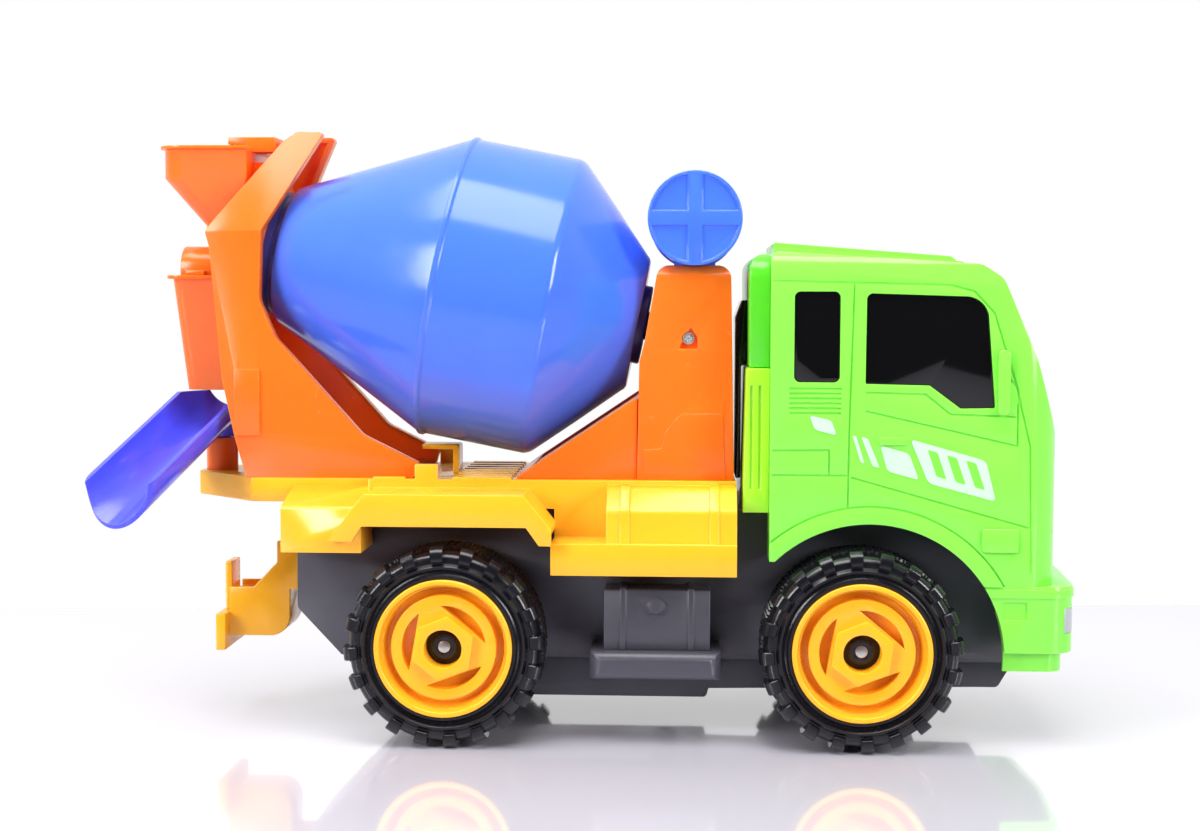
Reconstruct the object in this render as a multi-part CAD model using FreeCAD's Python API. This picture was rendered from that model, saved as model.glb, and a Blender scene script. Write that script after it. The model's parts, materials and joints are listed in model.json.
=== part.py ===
# Toy cement mixer truck, modelled as separate moulded pieces.
# Units are millimetres.  +X points to the cab, +Y to the left side, +Z up, and the wheels stand on Z = 0.
# While it is built, X = 0 is half way between the axles; the last step moves X = 0 to the middle of
# the overall length.
import FreeCAD, Part
import math
import os

V = FreeCAD.Vector

# ---- driving dimensions --------------------------------------------------------------------------
# running gear
WHEELBASE = 135.0
TRACK_OUTER = 120.0        # across the outer faces of the tyres
WHEEL_R = 33.0             # to the tips of the lugs
TYRE_W = 28.0
LUG_COUNT = 20
LUG_ANGLE = 8.5            # degrees of the tyre that one lug covers
LUG_H = 1.6
LUG_LENGTH = 8.5           # how far a lug runs in across the tread
RIM_LIP_R = 22.5
RIM_BARREL_R = 20.0
RIM_WALL = 1.6
DISC_R = 17.2
DISC_DEPTH = 3.2           # the disc's face below the tyre's outer face
BOSS_R = 10.6              # across the corners of the hexagon boss, halved
BOSS_PROUD = 2.6
RIM_GROOVE = 4.6           # depth of the ring groove round the disc
CRESCENT_DEPTH = 5.5
HUB_POCKET_R = 6.2
HUB_POCKET_DEPTH = 6.0
CRESCENT_R = 13.7
CRESCENT_CHORD = 9.8       # distance of the crescent's straight edge from the axle
AXLE_R = 2.0
AXLE_END_GAP = 4.6         # the axle ends this far inside the tyre's outer face
HUB_CAP_R = 4.3
RUNNING_GAP = 0.06         # radial play of every turning fit
PART_GAP = 0.3             # space between pieces that move past each other

# chassis
CHASSIS_HALF_W = 30.0
CHASSIS_WALL = 2.0
CHASSIS_TOP_Z = 76.0
PARTING_Z = 25.0
BASE_Z = 12.0
BASE_STEP_X = 18.0         # in front of this the base is shallower
BASE_STEP_Z = 15.0
TAIL_CUT_Z = 41.0
SIDE_TANK_X = (-16.0, 19.0)
SIDE_TANK_TOP_Z = 50.6
SIDE_TANK_Y = 46.0
STEP_X = (-20.5, 22.5)
STEP_Z = (21.8, 31.0)
STEP_Y = 52.0

# deck
DECK_HALF_W = 34.0
DECK_TOP_Z = 85.5
DECK_FRONT_X = 27.4
DECK_REAR_X = -96.0
DECK_WALL = 2.0
FENDER_Y = 57.0
FENDER_TOP_Z = 82.8
FENDER_BOTTOM_Z = 72.3
SKIRT_Y = 52.0
SKIRT_TOP_Z = 66.6
SKIRT_BOTTOM_Z = 56.2
SKIRT_REAR_X = -33.2
WING_Z = 63.0
WING_X = (-121.6, -95.1)
WING_Y = 52.5
PLATFORM_H = 8.3
PLATFORM_REAR_X = -160.5
POST_X = -154.0
POST_R = 5.5
POST_TOP_Z = 96.9

# rear frame
FRAME_HALF_W = 30.0
FRAME_WALL = 1.8
FRAME_RIM = 5.0            # depth of the folded rim behind each side plate
FRAME_TOP_Z = 203.1
FRAME_CREASE_Z = 168.8     # above this the side plates lean inwards
FRAME_LEAN = 17.0
FRAME_TOP_X = (-123.8, -114.4)
FRAME_CREASE_X = (-151.8, -132.8)
HEAD_LOW_Z = 190.4         # lower edge of the panel that joins the plates' tops
HEAD_SEAM = 0.1            # half the seam in that panel
CROSSWALL_T = 4.0
CROSSWALL_BELOW = 31.0
CROSSWALL_ABOVE = 32.0
CROSSWALL_BACK = 8.4       # its middle plane behind the drum's rear face

# hoppers and chute
HOPPER_RIM_Z = 198.0
HOPPER_FRONT_X = -139.8
HOPPER_REAR_X = -169.8
HOPPER_RISER_X = (-147.7, -131.4)
HOPPER_RISER_HALF_W = 13.0
HOPPER_HALF_W = 19.6
HOPPER_WALL = 1.6
SPOUT_HALF_W = 18.0
BOX_TOP_Z = 153.8
BOX_BOTTOM_Z = 114.3
BOX_FRONT_TOP_X = -150.8
BOX_FRONT_LOW_X = -145.8
BOX_DEPTH_TOP = 16.2
BOX_DEPTH_LOW = 16.6
CHUTE_R = 13.0
CHUTE_WALL = 1.6
CHUTE_REACH = 80.0         # along the slope, from the pin to the rounded end
CHUTE_BACK = 14.0          # how far the channel runs above the pin
CHUTE_SLOPE = 24.5
CHUTE_SWIVEL = 74.0        # how far the chute stands turned towards the right side
CHUTE_TOP_Z = 113.0
CHUTE_RISE = 5.6           # the channel's underside above the post, over the pin
CHUTE_PIN_R = 3.0
CHUTE_STEM_R = 4.8

# drum
DRUM_TILT = 11.0
DRUM_REAR_X = -129.8
DRUM_REAR_Z = 161.5
DRUM_REAR_R = 24.0
DRUM_R = 52.3
DRUM_FRONT_R = 23.0
DRUM_CONE_L = 57.9
DRUM_BARREL_L = 38.7
DRUM_NOSE_L = 29.4
DRUM_WALL = 1.8
COLLAR_R = 21.5
COLLAR_BORE = 17.0
COLLAR_L = 13.0
HUB_R = 13.8
HUB_L = 2.6
SHAFT_R = 5.0
SHAFT_L = 13.0

# tower and water tank
TOWER_X = (-5.7, 26.8)
BRACE_L = 41.8
RIB_X = (-67.5, TOWER_X[0] - BRACE_L - 0.5)
TOWER_HALF_W = 30.0
TOWER_TOP_HALF_W = 26.5
TOWER_TOP_Z = 157.6
TOWER_CREASE_Z = 128.3
TOWER_WALL = 2.0
SCREW_X = 11.3
SCREW_Z = 133.0
SCREW_HEAD_R = 1.9
WATER_TANK_R = 15.8
WATER_TANK_HALF_W = 28.0
TANK_CAP_T = 2.2

# cab
CAB_HALF_W = 48.0
CAB_WALL = 2.0
CAB_REAR_X = 38.0
CAB_BASE_Z = 53.4
CAB_ROOF_Z = 162.0
CAB_FRONT_SQUARE = 130.0   # where the flat of the cab's side ends
CAB_CORNER_R = 11.0
ROOF_CORNER_R = 6.0
ARCH_Z = 29.5
ARCH_R = 44.0
ARCH_FLARE = 5.2
ARCH_PROUD = 0.7
GROOVE_W = 0.8
GROOVE_D = 0.6
BUMPER_FRONT_X = 138.5
BUMPER_BOTTOM_Z = 25.2
BUMPER_TIER_Z = 31.7
BUMPER_WALL = 2.2
BUMPER_CORNER_R = 9.0

REAR_AXLE_X = -WHEELBASE / 2
FRONT_AXLE_X = WHEELBASE / 2
LAYOUT_AXLE_X = 67.5       # the cab and the mixer are laid out for axles this far from the middle
CAB_SHIFT = FRONT_AXLE_X - LAYOUT_AXLE_X
MIXER_SHIFT = REAR_AXLE_X + LAYOUT_AXLE_X
ARCH_X = LAYOUT_AXLE_X + 3.0
CHASSIS_REAR_X = REAR_AXLE_X - 53.5
CHASSIS_FRONT_X = FRONT_AXLE_X + 53.5
TAIL_CUT_X = REAR_AXLE_X - 38.5    # the slanted tail meets the parting line here
WHEEL_FACE_Y = TRACK_OUTER / 2
SIDES = {"right": -1, "left": 1}


# ---- shape helpers -------------------------------------------------------------------------------
def box(x, y, z):
    """A block between two limits along each axis."""
    return Part.makeBox(x[1] - x[0], y[1] - y[0], z[1] - z[0], V(x[0], y[0], z[0]))


def rod(start, direction, radius, length):
    return Part.makeCylinder(radius, length, V(*start), V(*direction))


def outline(points):
    """A closed wire through (a, b) corners in the XY plane; (a, b, r) rounds that corner."""
    count = len(points)
    starts = []
    edges = []
    for i, corner in enumerate(points):
        here = V(corner[0], corner[1], 0)
        radius = corner[2] if len(corner) > 2 else 0
        if not radius:
            starts.append((here, here))
            continue
        before = V(points[i - 1][0], points[i - 1][1], 0) - here
        after = V(points[(i + 1) % count][0], points[(i + 1) % count][1], 0) - here
        before.normalize()
        after.normalize()
        half = before.getAngle(after) / 2
        reach = radius / math.tan(half)
        bisector = before + after
        bisector.normalize()
        centre = here + bisector * (radius / math.sin(half))
        middle = centre - bisector * radius
        first = here + before * reach
        last = here + after * reach
        edges.append((i, Part.Arc(first, middle, last).toShape()))
        starts.append((first, last))
    arcs = dict(edges)
    chain = []
    for i in range(count):
        if i in arcs:
            chain.append(arcs[i])
        leave = starts[i][1]
        arrive = starts[(i + 1) % count][0]
        if (arrive - leave).Length > 1e-6:
            chain.append(Part.makeLine(leave, arrive))
    return Part.Wire(Part.__sortEdges__(chain))


def along_y(points, y0, y1):
    """Extrude an (X, Z) outline from Y = y0 to Y = y1."""
    face = Part.Face(outline(points))
    face.rotate(V(0, 0, 0), V(1, 0, 0), 90)
    face.translate(V(0, y0, 0))
    return face.extrude(V(0, y1 - y0, 0))


def along_x(points, x0, x1):
    """Extrude a (Y, Z) outline from X = x0 to X = x1."""
    face = Part.Face(outline(points))
    turn = FreeCAD.Rotation(V(0, 1, 0), V(0, 0, 1), V(1, 0, 0), "ZXY")
    face.Placement = FreeCAD.Placement(V(x0, 0, 0), turn)
    return face.extrude(V(x1 - x0, 0, 0))


def along_z(points, z0, z1):
    face = Part.Face(outline(points))
    face.translate(V(0, 0, z0))
    return face.extrude(V(0, 0, z1 - z0))


def lathe(points, angle=360.0):
    """Turn an (r, h) outline about the Z axis."""
    face = Part.Face(outline(points))
    face.rotate(V(0, 0, 0), V(1, 0, 0), 90)
    return face.revolve(V(0, 0, 0), V(0, 0, 1), angle)


def join(shapes):
    """Fuse pieces of one moulding and merge their flush faces."""
    return shapes[0].multiFuse(shapes[1:]).removeSplitter()


def mirror_y(shape):
    return shape.mirror(V(0, 0, 0), V(0, 1, 0))


def both_sides(shape):
    return [shape, mirror_y(shape)]


def strip(points, width):
    """A band of the given width that follows a polyline of (X, Z) points, as deep as the cab."""
    reach = CAB_HALF_W + 5
    pieces = []
    for (ax, az), (bx, bz) in zip(points, points[1:]):
        run = math.hypot(bx - ax, bz - az)
        bar = Part.makeBox(run, 2 * reach, width, V(0, -reach, -width / 2))
        bar.rotate(V(0, 0, 0), V(0, 1, 0), -math.degrees(math.atan2(bz - az, bx - ax)))
        bar.translate(V(ax, 0, az))
        pieces.append(bar)
        pieces.append(rod((bx, -reach, bz), (0, 1, 0), width / 2, 2 * reach))
    return pieces


# ---- wheels --------------------------------------------------------------------------------------
# A wheel is made lying down: its outer face is at Z = 0, its axle is the Z axis, and Z < 0 is inboard.
def tyre():
    inner = -TYRE_W
    crown = WHEEL_R - LUG_H
    lug_face = -LUG_H / 2
    carcass = lathe([
        (RIM_LIP_R, -1.6),
        (RIM_LIP_R + 2.4, -1.2),
        (RIM_LIP_R + 3.6, -0.6),
        (RIM_LIP_R + 4.6, -1.4),
        (crown, lug_face - 0.6, 4.0),
        (crown, inner - lug_face, 4.0),
        (RIM_LIP_R, inner + 1.6),
        (RIM_LIP_R, inner + 3.0),
        (RIM_BARREL_R, inner + 3.0),
        (RIM_BARREL_R, -3.4),
        (RIM_LIP_R, -3.4),
    ])
    outer_lug = lathe([
        (RIM_LIP_R + 5.6, -3.0),
        (RIM_LIP_R + 5.6, lug_face),
        (WHEEL_R, 0, 3.0),
        (WHEEL_R, -LUG_LENGTH),
        (crown - 1.0, -LUG_LENGTH),
    ], LUG_ANGLE)
    inner_lug = outer_lug.mirror(V(0, 0, inner / 2), V(0, 0, 1))
    pitch = 360.0 / LUG_COUNT
    pieces = [carcass]
    for i in range(LUG_COUNT):
        for lug, shift in ((outer_lug, 0.0), (inner_lug, pitch / 2)):
            copy = lug.copy()
            copy.rotate(V(0, 0, 0), V(0, 0, 1), i * pitch + shift)
            pieces.append(copy)
    return join(pieces)


def rim():
    inner = -TYRE_W
    face = -DISC_DEPTH
    web = face - HUB_POCKET_DEPTH
    shell = lathe([
        (AXLE_R, web),
        (AXLE_R, web - 3.0),
        (RIM_BARREL_R - RIM_WALL, web - 3.0),
        (RIM_BARREL_R - RIM_WALL, inner + 1.0),
        (RIM_LIP_R, inner + 1.0),
        (RIM_LIP_R, inner + 3.0),
        (RIM_BARREL_R, inner + 3.0),
        (RIM_BARREL_R, -3.4),
        (RIM_LIP_R, -3.4),
        (RIM_LIP_R, -0.4, 0.5),
        (RIM_LIP_R - 1.6, -0.4, 0.5),
        (RIM_BARREL_R - RIM_WALL + 0.6, face - RIM_GROOVE),
        (DISC_R, face - RIM_GROOVE),
        (DISC_R, face, 0.4),
        (HUB_POCKET_R, face),
        (HUB_POCKET_R, web),
    ])
    hexagon = []
    for i in range(6):
        turn = math.radians(60 * i + 22)
        hexagon.append((BOSS_R * math.cos(turn), BOSS_R * math.sin(turn), 0.6))
    boss = along_z(hexagon, face - 1.0, face + BOSS_PROUD)
    boss = boss.cut(rod((0, 0, web), (0, 0, 1), HUB_POCKET_R, 12))
    hub = lathe([
        (AXLE_R, inner + 4.0),
        (HUB_POCKET_R, inner + 4.0),
        (HUB_POCKET_R, web - 2.0),
        (AXLE_R, web - 2.0),
    ])
    solid = join([shell, boss, hub])
    half_chord = math.sqrt(CRESCENT_R ** 2 - CRESCENT_CHORD ** 2)
    arc = Part.Arc(V(CRESCENT_CHORD, -half_chord, 0), V(CRESCENT_R, 0, 0), V(CRESCENT_CHORD, half_chord, 0))
    chord = Part.makeLine(V(CRESCENT_CHORD, half_chord, 0), V(CRESCENT_CHORD, -half_chord, 0))
    crescent = Part.Face(Part.Wire([arc.toShape(), chord]))
    crescent.translate(V(0, 0, face - CRESCENT_DEPTH))
    cutter = crescent.extrude(V(0, 0, CRESCENT_DEPTH + 1))
    cutters = []
    for i in range(3):
        copy = cutter.copy()
        copy.rotate(V(0, 0, 0), V(0, 0, 1), 120 * i + 50)
        cutters.append(copy)
    return solid.cut(Part.makeCompound(cutters))


def hub_cap():
    floor = -DISC_DEPTH - HUB_POCKET_DEPTH
    return lathe([
        (AXLE_R, floor),
        (HUB_POCKET_R - 0.1, floor),
        (HUB_POCKET_R - 0.1, floor + 2.0, 0.4),
        (HUB_CAP_R, floor + 2.6),
        (HUB_CAP_R, -AXLE_END_GAP - 0.5, 0.8),
        (AXLE_R, -AXLE_END_GAP - 0.5),
    ])


def stand_wheel(shape, x, side):
    """Turn a wheel piece so that its outer face looks to the given side, and put it on its axle."""
    copy = shape.copy()
    copy.rotate(V(0, 0, 0), V(1, 0, 0), -90 * side)
    copy.translate(V(x, side * WHEEL_FACE_Y, WHEEL_R))
    return copy


def axle(x):
    half = WHEEL_FACE_Y - AXLE_END_GAP
    return rod((x, -half, WHEEL_R), (0, 1, 0), AXLE_R, 2 * half)


def wheels():
    made = {}
    kinds = (("tyre", tyre()), ("rim", rim()), ("hub_cap", hub_cap()))
    for end, x in (("front", FRONT_AXLE_X), ("rear", REAR_AXLE_X)):
        made[end + "_axle"] = axle(x)
        for side_name, side in SIDES.items():
            for kind, shape in kinds:
                made[f"{end}_{side_name}_{kind}"] = stand_wheel(shape, x, side)
    return made


# ---- chassis -------------------------------------------------------------------------------------
def chassis_profile(inset=0.0):
    rear = CHASSIS_REAR_X + inset
    front = CHASSIS_FRONT_X - inset
    return [
        (rear, TAIL_CUT_Z, 3.0),
        (rear, CHASSIS_TOP_Z - inset),
        (front - 19, CHASSIS_TOP_Z - inset),
        (front - 13.0, 56.0),
        (front - 9.6, 50.6),
        (front - 1.0, 42.0),
        (front, PARTING_Z),
        (TAIL_CUT_X + inset, PARTING_Z),
    ]


def chassis_tub():
    """The upper chassis moulding: a box open below, with sleeves that carry the axles."""
    half = CHASSIS_HALF_W
    inner = half - CHASSIS_WALL
    profile = chassis_profile(CHASSIS_WALL)
    profile[0] = (CHASSIS_REAR_X + CHASSIS_WALL, TAIL_CUT_Z + 0.8)
    profile[6] = (CHASSIS_FRONT_X - CHASSIS_WALL + 2, PARTING_Z - 9)
    profile[7] = (TAIL_CUT_X + CHASSIS_WALL + 9, PARTING_Z - 9)
    tub = along_y(chassis_profile(), -half, half).cut(along_y(profile, -inner, inner))
    sleeves = []
    holes = []
    for x in (REAR_AXLE_X, FRONT_AXLE_X):
        for side in SIDES.values():
            sleeves.append(rod((x, side * (inner - 6), WHEEL_R), (0, side, 0), AXLE_R + 3, 8 + 0.8))
        holes.append(rod((x, -half - 5, WHEEL_R), (0, 1, 0), AXLE_R + RUNNING_GAP, 2 * half + 10))
    return join([tub] + sleeves).cut(Part.makeCompound(holes))


def chassis_base():
    """The lower tray that closes the tub, with a round foot for each screw."""
    half = CHASSIS_HALF_W - 0.6
    inner = half - CHASSIS_WALL
    tail = TAIL_CUT_X + 0.3
    slant = PARTING_Z - BASE_Z
    tray = along_y([
        (tail, PARTING_Z),
        (tail + slant, BASE_Z, 2.0),
        (BASE_STEP_X, BASE_Z, 1.5),
        (BASE_STEP_X + 0.8, BASE_STEP_Z),
        (CHASSIS_FRONT_X - 13, BASE_STEP_Z + 1.6),
        (CHASSIS_FRONT_X - 5.5, BASE_STEP_Z + 1.6, 2.0),
        (CHASSIS_FRONT_X - 0.5, PARTING_Z),
    ], -half, half)
    pocket = along_y([
        (tail + CHASSIS_WALL, PARTING_Z + 1),
        (tail + slant + CHASSIS_WALL, BASE_Z + CHASSIS_WALL),
        (BASE_STEP_X - 2, BASE_Z + CHASSIS_WALL),
        (BASE_STEP_X - 1, BASE_STEP_Z + CHASSIS_WALL),
        (CHASSIS_FRONT_X - 14, BASE_STEP_Z + CHASSIS_WALL + 1.6),
        (CHASSIS_FRONT_X - 7.5, BASE_STEP_Z + CHASSIS_WALL + 1.6),
        (CHASSIS_FRONT_X - 2.5, PARTING_Z + 1),
    ], -inner, inner)
    feet = [rod((x, y, BASE_Z - 1.0), (0, 0, 1), 4.5, 8) for x, y in base_screw_points()]
    wells = [rod((x, y, BASE_Z - 2.0), (0, 0, 1), 2.6, 5) for x, y in base_screw_points()]
    return join([tray.cut(pocket)] + feet).cut(Part.makeCompound(wells))


def base_screw_points():
    return [(3.5, 20.0), (3.5, -20.0), (-84.0, 20.0), (-84.0, -20.0)]


def base_screws():
    """Four countersunk screw heads in the wells of the base."""
    heads = []
    for x, y in base_screw_points():
        head = rod((x, y, BASE_Z + 1.0), (0, 0, 1), 2.2, 2.0)
        slots = [box((x - 1.4, x + 1.4), (y - 0.3, y + 0.3), (BASE_Z, BASE_Z + 1.8))]
        slots.append(box((x - 0.3, x + 0.3), (y - 1.4, y + 1.4), (BASE_Z, BASE_Z + 1.8)))
        heads.append(head.cut(slots))
    return Part.makeCompound(heads)


def side_tank():
    """The strapped box on the right chassis wall."""
    x0, x1 = SIDE_TANK_X
    z0, z1 = STEP_Z[1], SIDE_TANK_TOP_Z
    wall = CHASSIS_HALF_W
    crease = z0 + 0.47 * (z1 - z0)
    section = [(-wall, z0), (-wall, z1), (-SIDE_TANK_Y + 2.6, z1, 0.8), (-SIDE_TANK_Y, crease), (-SIDE_TANK_Y, z0)]
    body = along_x(section, x0, x1)
    band = [(-wall, z0), (-wall, z1 + 0.6), (-SIDE_TANK_Y + 2.2, z1 + 0.6, 0.9)]
    band += [(-SIDE_TANK_Y - 0.6, crease), (-SIDE_TANK_Y - 0.6, z0)]
    straps = [along_x(band, x, x + 2.1) for x in (x0 + 5.2, x1 - 7.4)]
    cap = rod(((x0 + x1) / 2 - 0.4, -SIDE_TANK_Y + 1.6, z1 - 5.4), (0, -1, 0.25), 2.7, 2.2)
    return join([body] + straps + [cap])


def side_step():
    """The round-edged step bar below the side tank."""
    x0, x1 = STEP_X
    z0, z1 = STEP_Z
    bar = along_x([
        (-CHASSIS_HALF_W, z0), (-CHASSIS_HALF_W, z1), (-STEP_Y, z1, 3.6), (-STEP_Y, z0, 4.0),
    ], x0, x1)
    plan = along_z([
        (x0, -CHASSIS_HALF_W), (x1, -CHASSIS_HALF_W), (x1, -STEP_Y, 5.0), (x0, -STEP_Y, 5.0),
    ], z0, z1)
    return bar.common(plan)


# ---- deck ----------------------------------------------------------------------------------------
def fender_profile(drop=0.0, spread=0.0):
    """The mudguard over a rear wheel: a flat arch with slanted ends, in X and Z."""
    reach = -LAYOUT_AXLE_X + 0.5
    return [
        (reach - 38.3 - spread, 67.4 - 2 * spread),
        (reach - 26.6, FENDER_TOP_Z - drop, 1.0),
        (reach + 25.4, FENDER_TOP_Z - drop, 1.0),
        (reach + 34.4 + spread, 71.6 - 2 * spread),
        (reach + 34.4 + spread, SKIRT_TOP_Z - 0.2 - 4 * spread),
        (reach + 30.4, SKIRT_TOP_Z - 0.2 - 4 * spread),
        (reach + 26.2, FENDER_BOTTOM_Z - 4 * spread),
        (reach - 27.2, FENDER_BOTTOM_Z - 4 * spread),
        (reach - 30.5, 67.2 - 4 * spread),
    ]


def deck_side():
    """Fender, skirt, strapped tank cover and rear wing of the right side."""
    core = DECK_HALF_W
    wall = DECK_WALL
    guard = along_y(fender_profile(), -FENDER_Y, -core + 1)
    under = along_y(fender_profile(wall, 2.0), -FENDER_Y + wall, -CHASSIS_HALF_W)
    guard = guard.cut(under)
    ledge = box((SKIRT_REAR_X, DECK_FRONT_X), (-SKIRT_Y, -core + wall), (SKIRT_TOP_Z - wall, SKIRT_TOP_Z))
    skirt = box((SKIRT_REAR_X, DECK_FRONT_X), (-SKIRT_Y, -SKIRT_Y + wall), (SKIRT_BOTTOM_Z, SKIRT_TOP_Z))
    cheek = box((SKIRT_REAR_X, DECK_FRONT_X), (-core, -core + wall), (SKIRT_TOP_Z - wall, DECK_TOP_Z))
    x0 = DECK_FRONT_X - 42.6
    tank = [(-core, SKIRT_TOP_Z), (-core, DECK_TOP_Z - 1.2), (-core - 8, DECK_TOP_Z - 1.2, 6.0)]
    tank += [(-SKIRT_Y + 2.4, 77.0, 3.0), (-SKIRT_Y + 1.6, SKIRT_TOP_Z)]
    cover = along_x(tank, x0, DECK_FRONT_X)
    band = [(-core, SKIRT_TOP_Z), (-core, DECK_TOP_Z - 0.7), (-core - 8.4, DECK_TOP_Z - 0.7, 6.0)]
    band += [(-SKIRT_Y + 1.8, 77.4, 3.0), (-SKIRT_Y + 1.0, SKIRT_TOP_Z)]
    straps = [along_x(band, x, x + 3.1) for x in (x0 + 4.5, DECK_FRONT_X - 8.9)]
    wing = along_x([
        (-CHASSIS_HALF_W - PART_GAP, WING_Z),
        (-CHASSIS_HALF_W - PART_GAP, DECK_TOP_Z - 2.2),
        (-WING_Y, DECK_TOP_Z - 7.4, 1.2),
        (-WING_Y, WING_Z),
    ], *WING_X)
    hollow = box((WING_X[0] + wall, WING_X[1] - wall), (-WING_Y + wall, -CHASSIS_HALF_W - wall), (WING_Z - 1, 75.0))
    pieces = [guard, ledge, skirt, cheek, cover] + straps + [wing.cut(hollow)]
    return join(pieces)


def deck():
    """The yellow deck moulding: a ribbed top plate between the fenders and skirts."""
    core = DECK_HALF_W
    wall = DECK_WALL
    slab = box((DECK_REAR_X, DECK_FRONT_X), (-core, core), (CHASSIS_TOP_Z, DECK_TOP_Z))
    pocket = box((DECK_REAR_X + wall, DECK_FRONT_X - wall), (-core + wall, core - wall),
                 (CHASSIS_TOP_Z - 1, DECK_TOP_Z - wall))
    ribs = []
    rib_pitch = 2 * core / 8
    for i in range(8):
        y = -core + i * rib_pitch
        ribs.append(box(RIB_X, (y, y + rib_pitch / 2), (DECK_TOP_Z, DECK_TOP_Z + 0.8)))
    details = []
    for side in SIDES.values():
        edge = sorted((side * core, side * (core - 4.0)))
        details.append(box((-80.2, -72.6), edge, (DECK_TOP_Z, DECK_TOP_Z + 5.0)))
        details.append(box((-94.3, -83.6), edge, (DECK_TOP_Z - 3, DECK_TOP_Z + 0.7)))
    latch = along_y([
        (-81.6, DECK_TOP_Z + 9.6), (-68.8, DECK_TOP_Z + 9.6, 1.0), (-68.8, DECK_TOP_Z),
        (-70.8, DECK_TOP_Z), (-70.8, DECK_TOP_Z + 8.0), (-81.6, DECK_TOP_Z + 8.0),
    ], -6.0, 6.0)
    sides = both_sides(deck_side())
    return join([slab.cut(pocket)] + ribs + details + [latch] + sides)


def tail_platform():
    """The plate behind the deck, with a socket for the chute's post."""
    bottom = DECK_TOP_Z - PLATFORM_H
    half = CHASSIS_HALF_W
    plate = along_z([
        (PLATFORM_REAR_X, -6.5, 1.5), (PLATFORM_REAR_X + 24.0, -half, 2.0), (DECK_REAR_X, -half),
        (DECK_REAR_X, half), (PLATFORM_REAR_X + 24.0, half, 2.0), (PLATFORM_REAR_X, 6.5, 1.5),
    ], bottom, DECK_TOP_Z)
    return plate.cut(rod((POST_X, 0, bottom + 2), (0, 0, 1), POST_R, PLATFORM_H))


def chute_post():
    """The hollow post, let into the platform, that the chute's pin turns in."""
    foot = DECK_TOP_Z - PLATFORM_H + 2
    post = rod((POST_X, 0, foot), (0, 0, 1), POST_R, POST_TOP_Z - foot)
    return post.cut(rod((POST_X, 0, foot + 0.4), (0, 0, 1), CHUTE_PIN_R + RUNNING_GAP, 40))


def tow_hook():
    """The towing hook: two webs, a folded strap between them and an upright tongue."""
    heel = CHASSIS_REAR_X - 7.0
    tip = heel - 22.5
    low = 27.5
    web = along_y([
        (heel, low, 7.0), (heel, 61.0), (heel - 4.5, 61.0), (heel - 4.5, 53.5),
        (heel - 13.0, 44.6), (tip + 1.0, 44.6), (tip + 1.0, low),
    ], -10.0, -8.2)
    strap = along_y([
        (heel, low, 7.0), (heel, 61.0), (heel - 1.9, 61.0), (heel - 1.9, low + 1.9, 5.1),
        (tip + 1.0, low + 1.9),
        (tip + 1.0, low),
    ], -10.0, 10.0)
    shelf = box((tip + 1.0, heel - 1.0), (-10.0, 10.0), (41.0, 42.4))
    tongue = box((tip - 1.4, tip + 1.0), (-6.0, 6.0), (35.0, 53.0))
    foot = box((tip - 2.4, tip + 1.0), (-16.0, 16.0), (23.3, 36.0))
    arms = [box((heel - 1.0, CHASSIS_REAR_X), (y, y + 2.0), (44.0, 61.0)) for y in (-10.0, 8.0)]
    return join([web, mirror_y(web), strap, shelf, tongue, foot] + arms)


# ---- rear frame ----------------------------------------------------------------------------------
def frame_profile():
    return [
        (-81.2, DECK_TOP_Z, 1.0), (-79.8, 90.7), (-98.6, 100.0, 8.0), (-128.0, 132.6, 6.0),
        (-133.6, 145.4, 8.0),
        (FRAME_CREASE_X[1], FRAME_CREASE_Z, 2.0), (FRAME_TOP_X[1], FRAME_TOP_Z, 1.0), (FRAME_TOP_X[0], FRAME_TOP_Z, 1.5),
        (-127.7, 200.2),
        (FRAME_CREASE_X[0], FRAME_CREASE_Z, 3.0), (-150.2, 163.0), (-146.2, 118.4), (-142.3, 99.7),
        (-138.3, DECK_TOP_Z),
    ]


def frame_section(inset, depth):
    """The right side plate seen from the end: upright, and leaning inwards above the crease."""
    skin = -FRAME_HALF_W + inset
    top = FRAME_TOP_Z + 1
    return along_x([
        (skin, DECK_TOP_Z - 1), (skin, FRAME_CREASE_Z), (skin + FRAME_LEAN, top),
        (skin + FRAME_LEAN + depth, top),
        (skin + depth, FRAME_CREASE_Z), (skin + depth, DECK_TOP_Z - 1),
    ], -160.0, -70.0)


def rear_frame_right():
    """One side of the rear frame: an upright tray whose folded rim faces inwards."""
    skin = -FRAME_HALF_W
    reach = FRAME_RIM + FRAME_LEAN
    solid = along_y(frame_profile(), skin, skin + reach).common(frame_section(0.0, FRAME_RIM))
    face = Part.Face(outline(frame_profile()))
    inner = face.makeOffset2D(-FRAME_WALL)
    inner.rotate(V(0, 0, 0), V(1, 0, 0), 90)
    inner.translate(V(0, skin, 0))
    hollow = inner.extrude(V(0, reach, 0)).common(frame_section(FRAME_WALL, FRAME_RIM))
    pad = along_y([(-142.0, 99.7, 0.8), (-142.0, 122.0, 0.8), (-133.4, 122.0, 0.8), (-133.4, 99.7, 0.8)],
                  skin - 0.9, skin + 0.5)
    return join([solid.cut(hollow), pad, frame_head_right()])


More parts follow.
